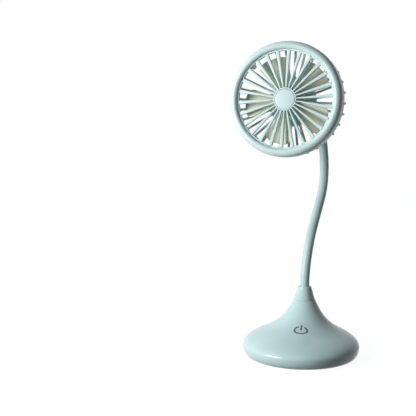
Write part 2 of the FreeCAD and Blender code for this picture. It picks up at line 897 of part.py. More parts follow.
put_in_head(
    screw_group(
        "motor_screws",
        MOTOR_SCREWS,
        "motor_screw_r",
        "motor_screw_head_r",
        "motor_screw_head",
        "-boss_front_depth",
        "-(%s) - can_front" % can_front,
    )
)

# Fan rotor: cup on the motor's shaft with five wide pitched blades, each a loft of thin sections

BLADE_STATIONS = (0.0, 0.18, 0.42, 0.66, 0.84, 0.95, 1.0)
TIP_ROUND_FROM = 0.7
TIP_ROUND_SHARE = 0.93

fan_rotor = put_in_head(new_body("fan_rotor"), "blade_phase")
revolve(
    fan_rotor,
    "cup",
    [
        ("shaft_r", "-rotor_boss_depth"),
        ("rotor_boss_r", "-rotor_boss_depth"),
        ("rotor_boss_r", "-rotor_front_depth - rotor_hub_wall"),
        ("rotor_hub_r - rotor_hub_wall", "-rotor_front_depth - rotor_hub_wall"),
        ("rotor_hub_r - rotor_hub_wall", "-rotor_back_depth"),
        ("rotor_hub_r", "-rotor_back_depth"),
        ("rotor_hub_r", "-rotor_front_depth - rotor_edge_round"),
        ("rotor_hub_r - rotor_edge_round", "-rotor_front_depth"),
        ("0", "-rotor_front_depth"),
        ("0", "-shaft_front_depth"),
        ("shaft_r", "-shaft_front_depth"),
    ],
    {6: "rotor_edge_round"},
)
blade_sections = []
for index, station in enumerate(BLADE_STATIONS):
    past_round = max(0.0, (station - TIP_ROUND_FROM) / (1 - TIP_ROUND_FROM)) * TIP_ROUND_SHARE
    rounding = math.sqrt(1 - past_round ** 2)
    reach = "blade_root_r + %g*(blade_tip_r - blade_root_r)" % station
    pitch = "(blade_root_pitch + %g*(blade_tip_pitch - blade_root_pitch))" % station
    depth = "blade_root_depth + %g*(blade_tip_depth - blade_root_depth)" % station
    width = "%g*(blade_root_width + %g*(blade_tip_width - blade_root_width))" % (rounding, station)
    half_chord = "%s/cos(%s)/2" % (width, pitch)
    section = new_sketch(
        fan_rotor, "blade_section_%d" % index, "YZ_Plane", reach, pitch, "-(%s)" % depth
    )
    draw_outline(
        section,
        [
            ("-(%s)" % half_chord, "-blade_thickness/2"),
            (half_chord, "-blade_thickness/2"),
            (half_chord, "blade_thickness/2"),
            ("-(%s)" % half_chord, "blade_thickness/2"),
        ],
    )
    blade_sections.append(section)
blade = fan_rotor.newObject("PartDesign::AdditiveLoft", "blade")
blade.Profile = blade_sections[0]
blade.Sections = [(section, [""]) for section in blade_sections[1:]]
blade.Ruled = False
blade.Closed = False
repeat_around(fan_rotor, "blades", blade, "blade_count")

# Ferrules that hold the neck's ends, with their nuts and the washer


def ferrule(name, low, high, shoulder_low):
    """Tube of the neck's own size with the shoulder that it is drawn up against."""
    body = new_body(name)
    revolve(
        body,
        "tube",
        [
            ("core_bore", low),
            ("core_r", low),
            ("core_r", shoulder_low),
            ("shoulder_r", shoulder_low),
            ("shoulder_r", "%s + shoulder" % shoulder_low),
            ("core_r", "%s + shoulder" % shoulder_low),
            ("core_r", high),
            ("core_bore", high),
        ],
    )
    return body


def hexagon_nut(name, flats, thickness, low):
    body = new_body(name)
    corner = "%s/2/cos(30)" % flats
    angles = range(30, 390, 60)
    corners = [("%s*cos(%g)" % (corner, angle), "%s*sin(%g)" % (corner, angle)) for angle in angles]
    nut_sketch = draw_outline(new_sketch(body, "nut_outline", height=low), corners)
    draw_circle(nut_sketch, "core_r + thread_gap")
    pad(body, "nut", nut_sketch, thickness)
    return body


put_in_head(
    ferrule(
        "top_ferrule",
        "-top_ferrule_back_depth",
        "-top_ferrule_front_depth",
        "-cap_step_depth - shoulder",
    )
)
put_in_head(hexagon_nut("top_ferrule_nut", "top_nut_flats", "top_nut", "-boss_back_depth"))

roof_inside = "bell_top_z - shell_roof"
put_on_neck_axis(
    ferrule(
        "bottom_ferrule",
        "bell_top_z - bottom_ferrule_low",
        "bell_top_z + bottom_ferrule_high",
        "bell_top_z + collar_step",
    )
)
nut_low = "%s - washer - bottom_nut" % roof_inside
put_on_neck_axis(hexagon_nut("bottom_ferrule_nut", "bottom_nut_flats", "bottom_nut", nut_low))
washer = new_body("ferrule_washer")
washer_sketch = new_sketch(washer, "washer_outline", height="%s - washer" % roof_inside)
draw_circle(washer_sketch, "washer_r")
draw_circle(washer_sketch, "core_r + fit_gap")
pad(washer, "washer", washer_sketch, "washer")
put_on_neck_axis(washer)

# Neck route: straight runs joined by tangent arcs, from inside the base's top to the head's cap

NECK_POINTS = (
    (2.0, 15.0, 62.5),
    (5.0, 37.0, 87.5),
    (8.0, 55.0, 109.5),
    (7.0, 69.0, 134.0),
    (3.5, 73.5, 164.5),
    (-8.0, 60.0, 190.5),
)
ARC_SHARE = 0.45
BEND_COUNT = 6


class Straight:
    """Straight stretch of a route."""

    def __init__(self, start, end):
        self.start = start
        self.end = end
        self.length = (end - start).Length

    def direction(self):
        return (self.end - self.start).normalize()

    def part(self, low, high):
        return Straight(self.start + self.direction() * low, self.start + self.direction() * high)

    def sweep(self, face):
        return face.extrude(self.end - self.start)

    def turn(self):
        return Rotation()

    def carry(self, face):
        moved = face.copy()
        moved.translate(self.end - self.start)
        return moved


class Bend:
    """Arc of a route, which turns by angle degrees about an axis through its middle."""

    def __init__(self, start, middle, axis, angle):
        self.start = start
        self.middle = middle
        self.axis = axis
        self.angle = angle
        self.radius = (start - middle).Length
        self.length = self.radius * math.radians(angle)
        self.end = self.at(angle)

    def at(self, angle):
        return self.middle + Rotation(self.axis, angle).multVec(self.start - self.middle)

    def direction(self):
        return self.axis.cross(self.start - self.middle).normalize()

    def part(self, low, high):
        share = self.angle / self.length
        return Bend(self.at(low * share), self.middle, self.axis, (high - low) * share)

    def sweep(self, face):
        return face.revolve(self.middle, self.axis, self.angle)

    def turn(self):
        return Rotation(self.axis, self.angle)

    def carry(self, face):
        moved = face.copy()
        moved.rotate(self.middle, self.axis, self.angle)
        return moved


def rounded_route(name, points):
    """Runs and arcs along the points, each arc as large as its two runs allow."""
    points = [Vector(*point) for point in points]
    runs = []
    radii = []
    here = points[0]
    for before, corner, after in zip(points, points[1:], points[2:]):
        back = (before - corner).normalize()
        ahead = (after - corner).normalize()
        turned = 180 - math.degrees(math.acos(back.dot(ahead)))
        share = ARC_SHARE * min((before - corner).Length, (after - corner).Length)
        radius = share / math.tan(math.radians(turned / 2))
        arc_start = corner + back * share
        middle = corner + (back + ahead).normalize() * (radius / math.cos(math.radians(turned / 2)))
        runs.append(Straight(here, arc_start))
        runs.append(Bend(arc_start, middle, ahead.cross(back).normalize(), turned))
        radii.append(radius)
        here = runs[-1].end
    runs.append(Straight(here, points[-1]))
    total = sum(run.length for run in runs)
    print(name, "length %.1f, arc radii" % total, " ".join("%.1f" % radius for radius in radii))
    return runs


def stretch(route, low, high):
    """The runs of a route between two distances along it."""
    pieces = []
    passed = 0.0
    for run in route:
        first = max(low - passed, 0.0)
        last = min(high - passed, run.length)
        if last - first > 0.01:
            pieces.append(run.part(first, last))
        passed += run.length
    return pieces


def route_length(route):
    return sum(run.length for run in route)


def side_at(route, distance):
    """The direction that starts as +X and is carried along the route without twisting."""
    side = Vector(1, 0, 0)
    for run in stretch(route, 0.0, distance):
        side = run.turn().multVec(side)
    return side


def disc(middle, direction, radius):
    return Part.Face(Part.Wire(Part.makeCircle(radius, middle, direction)))


def swept(section, runs):
    """Solid that a flat section leaves along a stretch, with its volume set against its length."""
    expected = section.Area * route_length(runs)
    solids = []
    for run in runs:
        solids.append(run.sweep(section))
        section = run.carry(section)
    whole = solids[0].multiFuse(solids[1:]).removeSplitter() if len(solids) > 1 else solids[0]
    if abs(whole.Volume / expected - 1) > 0.05:
        raise RuntimeError("a swept piece has lost its section")
    return whole.Solids[0]


def tube(runs, outer_radius, bore):
    outside = disc(runs[0].start, runs[0].direction(), outer_radius)
    return swept(outside.cut(disc(runs[0].start, runs[0].direction(), bore)).Faces[0], runs)


def wire(runs, radius, offset=Vector(0, 0, 0)):
    return swept(disc(runs[0].start + offset, runs[0].direction(), radius), runs)


def feature(name, shape, placement=None):
    thing = document.addObject("Part::Feature", name)
    thing.Shape = shape
    thing.Placement = placement or Placement()
    return sub_part(thing, name)


HEAD = Placement(
    Vector(size("head_x"), size("head_y"), size("head_z")),
    Rotation(-size("head_turn"), 0, 90 - size("head_tilt")),
)
neck_y = size("neck_y")
bell_top = size("bell_top_z")
neck_end_depth = size("neck_end_depth")
neck_turn_depth = neck_end_depth + size("neck_head_run")
neck_route = rounded_route(
    "neck",
    [(0, neck_y, bell_top - size("neck_foot_drop")), (0, neck_y, bell_top + size("neck_straight_rise"))]
    + [(x, neck_y + back, bell_top + rise) for x, back, rise in NECK_POINTS]
    + [HEAD.multVec(Vector(0, 0, -depth)) for depth in (neck_turn_depth, neck_end_depth)],
)
neck_length = route_length(neck_route)

# Bends of the neck: six stations, by turns fore and aft and sideways

bend_step = (neck_length - size("first_bend") - size("last_bend")) / (BEND_COUNT - 1)
bends = [size("first_bend") + bend_step * index for index in range(BEND_COUNT)]
for index, distance in enumerate(bends):
    here = stretch(neck_route, distance, distance + 1)[0]
    along = here.direction()
    cross_axis = (Vector(1, 0, 0) - along * along.x).normalize()
    if index % 2:
        cross_axis = along.cross(cross_axis)
    print("bend %d at" % (index + 1), tuple(round(value, 3) for value in here.start), end=" ")
    print("axis", tuple(round(value, 5) for value in cross_axis))

# Neck pieces: core tubes between the bends, a sleeve and a pair of wires across each bend

core_r = size("core_r")
core_bore = size("core_bore")
sleeve_r = size("sleeve_r")
sleeve_bore = sleeve_r - size("sleeve_wall")
bend_gap = size("bend_gap")
sleeve_gap = size("sleeve_gap")
core_start = size("neck_foot_drop") + size("bottom_ferrule_high")
core_end = neck_length - (size("top_ferrule_back_depth") - neck_end_depth)
sleeve_start = size("neck_foot_drop + collar_step + shoulder + sleeve_fit_gap")
sleeve_end = neck_length - (size("cap_step_depth + shoulder + sleeve_fit_gap") - neck_end_depth)

bend_edges = [distance + side for distance in bends for side in (-bend_gap, bend_gap)]
core_ends = [core_start] + bend_edges + [core_end]
for index in range(BEND_COUNT + 1):
    runs = stretch(neck_route, core_ends[2 * index], core_ends[2 * index + 1])
    feature("neck_core_%d" % (index + 1), tube(runs, core_r, core_bore))

middles = [(first + second) / 2 for first, second in zip(bends, bends[1:])]
sleeve_cuts = [sleeve_start - sleeve_gap] + middles + [sleeve_end + sleeve_gap]
wire_cuts = [core_start] + middles + [core_end]
wire_r = size("wire_r")
half_spacing = size("wire_spacing") / 2
for index in range(BEND_COUNT):
    runs = stretch(neck_route, sleeve_cuts[index] + sleeve_gap, sleeve_cuts[index + 1] - sleeve_gap)
    feature("neck_sleeve_%d" % (index + 1), tube(runs, sleeve_r, sleeve_bore))
    runs = stretch(neck_route, wire_cuts[index], wire_cuts[index + 1])
    side = side_at(neck_route, wire_cuts[index])
    pair = [wire(runs, wire_r, side * offset) for offset in (-half_spacing, half_spacing)]
    feature("neck_wires_%d" % (index + 1), Part.makeCompound(pair))

# Head wires: from the neck's end out of the ferrule and onto the motor's end bell

TERMINAL_R = 5.0
LEAD_CLEARANCE = 1.6

lead_depth = size(bell_back) + LEAD_CLEARANCE
side = HEAD.Rotation.inverted().multVec(side_at(neck_route, core_end))
leads = []
for sign in (-1, 1):
    inner = side * (sign * half_spacing)
    outer = side * (sign * TERMINAL_R)
    lead_route = rounded_route(
        "motor lead",
        [
            inner + Vector(0, 0, -size("top_ferrule_back_depth")),
            inner + Vector(0, 0, -lead_depth),
            outer + Vector(0, 0, -lead_depth),
            outer + Vector(0, 0, -size(bell_back)),
        ],
    )
    leads.append(wire(lead_route, wire_r))
feature("motor_leads", Part.makeCompound(leads), HEAD)

# Base shell: lofts through round sections for its outside, its inside and what lies against them

RIM_SHARES = (1.0, 0.67, 0.33)
BELL_SHARES = (0.0, 0.015, 0.05, 0.11, 0.2, 0.32, 0.46, 0.6, 0.73, 0.84, 0.93, 1.0)
ROOF_POWER = 8
FOOT_ANGLE = "asin(1 - foot_gap/widest_z)"


def plan_y(radius):
    """Where the middle of a round section lies: it drifts towards the neck as the radius falls."""
    return "neck_y*(base_r - (%s))/(base_r - bell_top_r)" % radius


def bell(name, side="0", roof="0", open_below=False):
    """The shell's form, drawn in by side all round and lowered by roof above the rim."""
    body = document.addObject("PartDesign::Body", name)
    rounds = [("foot_r", "foot_gap - 1")] if open_below else []
    for share in RIM_SHARES:
        angle = "%g*%s" % (share, FOOT_ANGLE)
        rounds.append(("base_r - foot_tuck*(1 - cos(%s))" % angle, "widest_z*(1 - sin(%s))" % angle))
    for share in BELL_SHARES:
        rise = "bell_share*%g^bell_rim_power + (1 - bell_share)*%g^bell_neck_power" % (share, share)
        height = "widest_z + (bell_top_z - widest_z)*(%s)" % (rise if share else "0")
        lowered = 1 - (1 - share) ** ROOF_POWER
        rounds.append(("base_r - %g*(base_r - bell_top_r)" % share, "%s - %g*(%s)" % (height, lowered, roof)))
    sections = []
    for index, (radius, height) in enumerate(rounds):
        section = new_sketch(body, "%s_round_%d" % (name, index), height=height)
        sections.append(draw_circle(section, "%s - %s" % (radius, side), y=plan_y(radius)))
    loft = body.newObject("PartDesign::AdditiveLoft", name + "_loft")
    loft.Profile = sections[0]
    loft.Sections = [(section, [""]) for section in sections[1:]]
    loft.Ruled = False
    loft.Closed = False
    return body


COVER_SCREWS = around("cover_screw_ring_r", "cover_screw_phase", 4)
BOARD_SCREWS = [("board_post_x", "board_post_y"), ("-board_post_x", "board_post_y")]

shell_outside = bell("shell_outside")
shell_inside = bell("shell_inside", "shell_side", "shell_roof", open_below=True)
post_low = "cover_boss_z + post_gap"
columns = []
post_height = "bell_top_z - (%s)" % post_low
for index, (x, y) in enumerate(COVER_SCREWS):
    columns.append(cylinder("post_%d" % index, "shell_post_r", post_height, x, y, post_low))
shell_posts = common("shell_posts", fuse("post_columns", *columns), shell_outside)
shell_body = fuse("shell_body", cut("shell_walls", shell_outside, shell_inside), shell_posts)

# Power mark: open oval ring and bar let into the shell, over the touch pad


def oval(name, half_width, half_height, height):
    """Upright prism with an oval section."""
    edge = document.addObject("Part::Ellipse", name + "_edge")
    bind(edge, "MajorRadius", half_width)
    bind(edge, "MinorRadius", half_height)
    bind(edge, ".Placement.Base.z", "-%s/2" % height)
    prism = document.addObject("Part::Extrusion", name)
    prism.Base = edge
    prism.Dir = Vector(0, 0, 1)
    prism.DirMode = "Custom"
    prism.Solid = True
    bind(prism, "LengthFwd", height)
    return prism


mark_ring = cut(
    "mark_ring",
    oval("mark_outer", "icon_half_width", "icon_half_height", "icon_reach"),
    oval("mark_inner", "icon_half_width - icon_stroke", "icon_half_height - icon_stroke", "icon_reach"),
)
mark_opening = box(
    "mark_opening", "icon_opening", "icon_half_height", "icon_reach", "-icon_opening/2", "0", "-icon_reach/2"
)
mark_bar = fuse(
    "mark_bar",
    box(
        "mark_bar_middle",
        "icon_stroke",
        "icon_bar_top - icon_bar_foot",
        "icon_reach",
        "-icon_stroke/2",
        "icon_bar_foot",
        "-icon_reach/2",
    ),
    cylinder("mark_bar_foot", "icon_stroke/2", "icon_reach", "0", "icon_bar_foot", "-icon_reach/2"),
    cylinder("mark_bar_end", "icon_stroke/2", "icon_reach", "0", "icon_bar_top", "-icon_reach/2"),
)
mark_form = fuse("mark_form", cut("open_ring", mark_ring, mark_opening), mark_bar)
bind(
    mark_form,
    "Placement",
    "create(<<placement>>; create(<<vector>>; icon_x; icon_y; icon_z); "
    "create(<<rotation>>; 0; 0; icon_slope))",
)
mark_in_shell = common("mark_in_shell", mark_form, shell_outside)
power_icon = sub_part(cut("power_icon", mark_in_shell, bell("mark_floor", roof="icon_depth")), "power_icon")

foil_column = cylinder("foil_column", "touch_pad_r", "bell_top_z", "icon_x", "icon_y")
foil_floor = bell("foil_floor", "shell_side", "shell_roof + touch_pad", open_below=True)
touch_pad = cut("touch_pad", common("foil_on_roof", foil_column, shell_inside), foil_floor)
sub_part(touch_pad, "touch_pad")

# Openings of the shell: neck, screws, charging socket and charge light

light_z = "board_top + light_rise"
screw_seat_z = "cover_screw_head_low + cover_screw_head"
openings = [
    power_icon,
    cylinder("neck_hole", "core_r + fit_gap", "3*shell_roof", "0", "neck_y", "bell_top_z - 2*shell_roof"),
    box(
        "socket_hole",
        "socket_width + 2*socket_hole_gap",
        "socket_length + socket_hole_run",
        "socket_height + 2*socket_hole_gap",
        "-socket_width/2 - socket_hole_gap",
        "socket_mouth_y - socket_length",
        "board_top - socket_hole_gap",
    ),
    cylinder(
        "light_hole",
        "light_r + light_gap",
        "light_hole_length",
        "light_x",
        "light_back_y",
        light_z,
        Vector(0, 1, 0),
    ),
]
for index, (x, y) in enumerate(COVER_SCREWS):
    depth = "%s + cover_screw_length + pilot_extra - (%s)" % (screw_seat_z, post_low)
    openings.append(cylinder("pilot_%d" % index, "cover_screw_r + screw_gap", depth, x, y, post_low))
base_shell = sub_part(cut("base_shell", shell_body, fuse("shell_openings", *openings)), "base_shell")

# Collar: small cone on the shell's top, drawn down by the ferrule's shoulder

neck_collar = put_on_neck_axis(new_body("neck_collar"))
collar_top = "bell_top_z + collar_height"
revolve(
    neck_collar,
    "cone",
    [
        ("core_r + fit_gap", "bell_top_z"),
        ("collar_r", "bell_top_z"),
        ("collar_top_r", "%s - collar_round" % collar_top),
        ("collar_top_r - collar_edge", collar_top),
        ("sleeve_r + sleeve_fit_gap", collar_top),
        ("sleeve_r + sleeve_fit_gap", "bell_top_z + collar_step"),
        ("core_r + fit_gap", "bell_top_z + collar_step"),
    ],
    {2: "collar_round"},
)

# Underside: cover with its screw bosses and board posts, soft foot pad in a recess, four screws

bottom_cover = new_body("bottom_cover")
plate_sketch = new_sketch(bottom_cover, "plate_outline", height="foot_gap")
draw_circle(plate_sketch, "foot_r - shell_side - cover_gap", y=plan_y("foot_r"))
pad(bottom_cover, "plate", plate_sketch, "cover_top_z - foot_gap")
boss_sketch = new_sketch(bottom_cover, "boss_outline", height="foot_gap")
pad(
    bottom_cover,
    "bosses",
    draw_ring_of_circles(boss_sketch, "cover_boss_r", COVER_SCREWS),
    "cover_boss_z - foot_gap",
)
post_sketch = new_sketch(bottom_cover, "post_outline", height="foot_gap")
pad(
    bottom_cover,
    "board_posts",
    draw_ring_of_circles(post_sketch, "board_post_r", BOARD_SCREWS),
    "board_z - foot_gap",
)
recess = draw_circle(new_sketch(bottom_cover, "recess_outline", height="foot_gap"), "pad_r + pad_gap")
pocket(bottom_cover, "recess", recess, "pad_thickness - foot_gap")
cover_hole_r = "cover_screw_r + cover_screw_clearance"
for label, radius, places, low, length in (
    ("screw_seats", "cover_screw_head_r + head_gap", COVER_SCREWS, "foot_gap", screw_seat_z + " - foot_gap"),
    ("screw_holes", cover_hole_r, COVER_SCREWS, "foot_gap", "cover_boss_z - foot_gap"),
    (
        "board_pilots",
        "board_screw_r + screw_gap",
        BOARD_SCREWS,
        "board_top - board_screw_length",
        "board_screw_length - board",
    ),
):
    hole_sketch = new_sketch(bottom_cover, label + "_outline", height=low)
    pocket(bottom_cover, label, draw_ring_of_circles(hole_sketch, radius, places), length)

foot_pad = new_body("foot_pad")
pad(foot_pad, "disc", draw_circle(new_sketch(foot_pad, "disc_outline"), "pad_r"), "pad_thickness")

screw_group(
    "cover_screws",
    COVER_SCREWS,
    "cover_screw_r",
    "cover_screw_head_r",
    "cover_screw_head",
    screw_seat_z,
    "%s + cover_screw_length" % screw_seat_z,
)

# Counterweight on the cover, battery cell in its cradle on the counterweight

sub_part(cylinder("counterweight", "weight_r", "weight", z="cover_top_z"), "counterweight")

cradle_z = "cover_top_z + weight"
cell_z = "(%s + cradle_floor + cradle_gap + cell_r)" % cradle_z
cell_left = "-cell_length/2"
battery_cell = fuse(
    "battery_cell",
    cylinder("cell_can", "cell_r", "cell_length", cell_left, "cell_y", cell_z, Vector(1, 0, 0)),
    cylinder("cell_tip", "cell_nub_r", "cell_nub", "cell_length/2", "cell_y", cell_z, Vector(1, 0, 0)),
)
sub_part(battery_cell, "battery_cell")
trough_length = "cell_length + cell_nub + 2*cradle_gap"
battery_cradle = cut(
    "battery_cradle",
    box(
        "cradle_block",
        "%s + 2*cradle_end" % trough_length,
        "cradle_width",
        "cradle_height",
        "%s - cradle_gap - cradle_end" % cell_left,
        "cell_y - cradle_width/2",
        cradle_z,
    ),
    cylinder(
        "cradle_trough",
        "cell_r + cradle_gap",
        trough_length,
        "%s - cradle_gap" % cell_left,
        "cell_y",
        cell_z,
        Vector(1, 0, 0),
    ),
)
sub_part(battery_cradle, "battery_cradle")

# Circuit board on its posts, the parts soldered to it, its screws, socket and light guide

board_plate = box(
    "board_plate", "2*board_x", "board_length", "board", "-board_x", "board_front_y", "board_z"
)
board_holes = [
    cylinder("board_hole_%d" % index, "board_screw_r + board_hole_gap", "board", x, y, "board_z")
    for index, (x, y) in enumerate(BOARD_SCREWS)
]
sub_part(cut("circuit_board", board_plate, fuse("board_holes", *board_holes)), "circuit_board")
screw_group(
    "board_screws",
    BOARD_SCREWS,
    "board_screw_r",
    "board_screw_head_r",
    "board_screw_head",
    "board_top",
    "board_top - board_screw_length",
)
group(
    "board_components",
    [
        box("controller_chip", "chip_width", "chip_length", "chip", "chip_x", "chip_y", "board_top"),
        box("lead_plug", "plug_width", "plug_length", "plug_height", "plug_x", "plug_y", "board_top"),
        box(
            "charge_lamp",
            "lamp_side",
            "lamp_side",
            "lamp_height",
            "light_x - lamp_side/2",
            "light_back_y - lamp_side - lamp_gap",
            "board_top",
        ),
        cylinder("capacitor", "capacitor_r", "capacitor_height", "capacitor_x", "capacitor_y", "board_top"),
    ],
)

socket_back_y = "(socket_mouth_y - socket_length)"
socket_shell = cut(
    "socket_shell",
    box(
        "socket_block",
        "socket_width",
        "socket_length",
        "socket_height",
        "-socket_width/2",
        socket_back_y,
        "board_top",
    ),
    box(
        "socket_mouth",
        "socket_width - 2*socket_wall",
        "socket_length",
        "socket_height - 2*socket_wall",
        "-socket_width/2 + socket_wall",
        "%s + socket_wall" % socket_back_y,
        "board_top + socket_wall",
    ),
)
socket_tongue = box(
    "socket_tongue",
    "socket_width - 2*socket_tongue_inset",
    "socket_length - socket_tongue_short",
    "socket_tongue",
    "socket_tongue_inset - socket_width/2",
    socket_back_y,
    "board_top + socket_height/2 - socket_tongue/2",
)
sub_part(fuse("charging_socket", socket_shell, socket_tongue), "charging_socket")
charge_light = cylinder(
    "charge_light", "light_r", "light_length", "light_x", "light_back_y", light_z, Vector(0, 1, 0)
)
sub_part(charge_light, "charge_light")

# Wires inside the base, each along its own route from board to battery, touch pad and neck

document.recompute()


def underside_at(shape, x, y):
    """Height of a shape's lower side over one point of the plan."""
    line = Part.makeLine(Vector(x, y, 0), Vector(x, y, bell_top))
    return min(vertex.Z for vertex in shape.common(line).Vertexes)


lead_r = size("lead_r")
cell_end = size("cell_length/2")
tip_end = cell_end + size("cell_nub")
cell_y = size("cell_y")
cell_height = size(cell_z)
board_level = size("board_top")
board_y = size("board_front_y")
socket_level = board_level + 1.7
minus_route = rounded_route(
    "battery lead",
    [
        (-cell_end, cell_y, cell_height + 3),
        (-cell_end - 3.5, cell_y, cell_height + 3),
        (-cell_end - 2.5, cell_y + 14, cell_height + 1),
        (-cell_end + 10.5, board_y - 10.5, cell_height - 2),
        (-11.5, board_y - 4.5, socket_level),
        (-11.5, board_y + 1.5, socket_level),
    ],
)
plus_route = rounded_route(
    "battery lead",
    [
        (tip_end, cell_y, cell_height + 1.5),
        (tip_end + 3.3, cell_y, cell_height + 1.5),
        (tip_end + 2.5, cell_y + 14, cell_height + 1),
        (cell_end - 10.5, board_y - 10, cell_height - 2),
        (2, board_y - 7.5, cell_height - 4),
        (-8.5, board_y - 5, socket_level),
        (-8.5, board_y + 1.5, socket_level),
    ],
)
feature("battery_leads", Part.makeCompound([wire(minus_route, lead_r), wire(plus_route, lead_r)]))

WIRE_BOW_BACK = 0.35
WIRE_BOW_HEIGHT = 0.46

wire_top = bell_top + size("bottom_ferrule_high")
wire_entry = bell_top - size("bottom_ferrule_low + wire_entry")
wire_y = board_y + 2.5
bow_y = neck_y + WIRE_BOW_BACK * (wire_y - neck_y)
bow_z = board_level + WIRE_BOW_HEIGHT * (bell_top - board_level)
base_wires = []
for foot_x, middle_x, end_x in ((-1.5, -1.0, -half_spacing), (4.0, 1.5, half_spacing)):
    base_route = rounded_route(
        "base wire",
        [
            (foot_x, wire_y, board_level),
            (foot_x, wire_y, board_level + 8.4),
            (middle_x, bow_y, bow_z),
            (end_x, neck_y, wire_entry),
            (end_x, neck_y, wire_top),
        ],
    )
    base_wires.append(wire(base_route, wire_r))
feature("base_wires", Part.makeCompound(base_wires))

touch_lead_r = size("touch_lead_r")
pad_x = size("icon_x")
pad_y = size("icon_y")
pad_z = underside_at(touch_pad.Shape, pad_x, pad_y) - 0.5 * touch_lead_r
cell_top = cell_height + size("cell_r")
touch_route = rounded_route(
    "touch lead",
    [
        (pad_x, pad_y, pad_z),
        (pad_x, pad_y, pad_z - 3.5),
        (5, pad_y + 10.5, pad_z - 3.5),
        (7, cell_y - 8, cell_top + 3.3),
        (9, cell_y + 5, cell_top + 3.8),
        (11, board_y - 12.5, cell_top - 1.2),
        (11, wire_y, board_level + 4.4),
        (11, wire_y, board_level),
    ],
)
feature("touch_lead", wire(touch_route, touch_lead_r))

# Every piece has to be whole before anything is written

document.recompute()
for thing in document.Objects:
    if "Invalid" in thing.State or "Error" in thing.State:
        raise RuntimeError("%s could not be made" % thing.Label)
for piece in sub_parts:
    if piece.Shape.isNull() or not piece.Shape.isValid() or not piece.Shape.Solids:
        raise RuntimeError("%s has no sound shape" % piece.Label)

os.makedirs("parts", exist_ok=True)
for piece in sub_parts:
    piece.Shape.exportStep("parts/%s.step" % piece.Label)
    print(piece.Label, len(piece.Shape.Solids), "solids, %.1f mm3" % piece.Shape.Volume)
print(len(sub_parts), "pieces")
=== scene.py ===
import math

import bmesh
import bpy
from mathutils import Matrix, Vector
from mathutils.bvhtree import BVHTree


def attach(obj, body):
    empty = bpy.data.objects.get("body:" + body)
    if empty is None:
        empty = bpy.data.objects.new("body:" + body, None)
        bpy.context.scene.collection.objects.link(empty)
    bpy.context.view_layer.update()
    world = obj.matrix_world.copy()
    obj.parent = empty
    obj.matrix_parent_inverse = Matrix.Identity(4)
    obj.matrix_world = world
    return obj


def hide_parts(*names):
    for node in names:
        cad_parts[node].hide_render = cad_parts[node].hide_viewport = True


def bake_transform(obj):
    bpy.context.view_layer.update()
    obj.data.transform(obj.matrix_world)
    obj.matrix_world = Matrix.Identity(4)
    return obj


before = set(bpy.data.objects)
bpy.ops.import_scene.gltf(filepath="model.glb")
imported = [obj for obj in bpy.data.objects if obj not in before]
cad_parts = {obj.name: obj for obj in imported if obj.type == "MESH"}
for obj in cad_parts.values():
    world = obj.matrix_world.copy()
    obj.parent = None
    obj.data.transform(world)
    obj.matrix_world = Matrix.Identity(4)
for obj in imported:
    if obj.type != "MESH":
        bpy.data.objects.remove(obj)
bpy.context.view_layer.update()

# Foot pad: a disc of soft dark rubber in the recess of the bottom cover, on which the fan
# stands. It is punched from sheet, so its edge is only just rounded, and it is glued in.

MM = 0.001
FULL_TURN = math.radians(360)
NOISE_LOW = 0.3
NOISE_HIGH = 0.7


def shade(red, green, blue):
    """Linear colour of a shade that is given as 0 to 255."""
    parts = [value / 255 for value in (red, green, blue)]
    return tuple(p / 12.92 if p <= 0.04045 else ((p + 0.055) / 1.055) ** 2.4 for p in parts) + (1.0,)


def turned(outline, steps, closed=True):
    """Form spun about z from an outline of radius and height. One that is not closed meets the axis."""
    form = bmesh.new()
    corners = [form.verts.new((radius * MM, 0, height * MM)) for radius, height in outline]
    ends = corners[1:] + corners[:1] if closed else corners[1:]
    edges = [form.edges.new(pair) for pair in zip(corners, ends)]
    bmesh.ops.spin(
        form,
        geom=corners + edges,
        axis=(0, 0, 1),
        cent=(0, 0, 0),
        steps=steps,
        angle=FULL_TURN,
        use_merge=True,
    )
    bmesh.ops.remove_doubles(form, verts=form.verts, dist=0.001 * MM)
    bmesh.ops.recalc_face_normals(form, faces=form.faces)
    return form


def soften(form, width, segments=2, sharper_than=40, keep=lambda edge: True):
    """Rounds over the edges at which two faces meet at more than a given angle."""
    limit = math.radians(sharper_than)
    inner = [edge for edge in form.edges if len(edge.link_faces) == 2]
    sharp = [edge for edge in inner if edge.calc_face_angle() > limit and keep(edge)]
    bmesh.ops.bevel(
        form,
        geom=sharp,
        offset=width * MM,
        offset_type="OFFSET",
        segments=segments,
        profile=0.5,
        affect="EDGES",
        clamp_overlap=True,
        material=-1,
    )
    return form


def piece(form, name, materials, smooth_below=32):
    """Object made of a finished form, smooth where its faces meet at a small angle."""
    mesh = bpy.data.meshes.new(name)
    form.to_mesh(mesh)
    form.free()
    mesh.shade_smooth()
    mesh.set_sharp_from_angle(angle=math.radians(smooth_below))
    for material in materials:
        mesh.materials.append(material)
    thing = bpy.data.objects.new(name, mesh)
    bpy.context.scene.collection.objects.link(thing)
    return thing


def mount(thing, body, slot, *nodes):
    """Fixes a piece to the body it moves with, in place of the plain solids that it stands for."""
    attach(thing, body)
    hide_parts(*nodes)
    return thing


def blank_material(name):
    """New material with its nodes, its links, its shader and the coordinates of the piece."""
    material = bpy.data.materials.new(name)
    material.use_nodes = True
    nodes = material.node_tree.nodes
    place = nodes.new("ShaderNodeTexCoord").outputs["Object"]
    return material, nodes, material.node_tree.links, nodes["Principled BSDF"], place


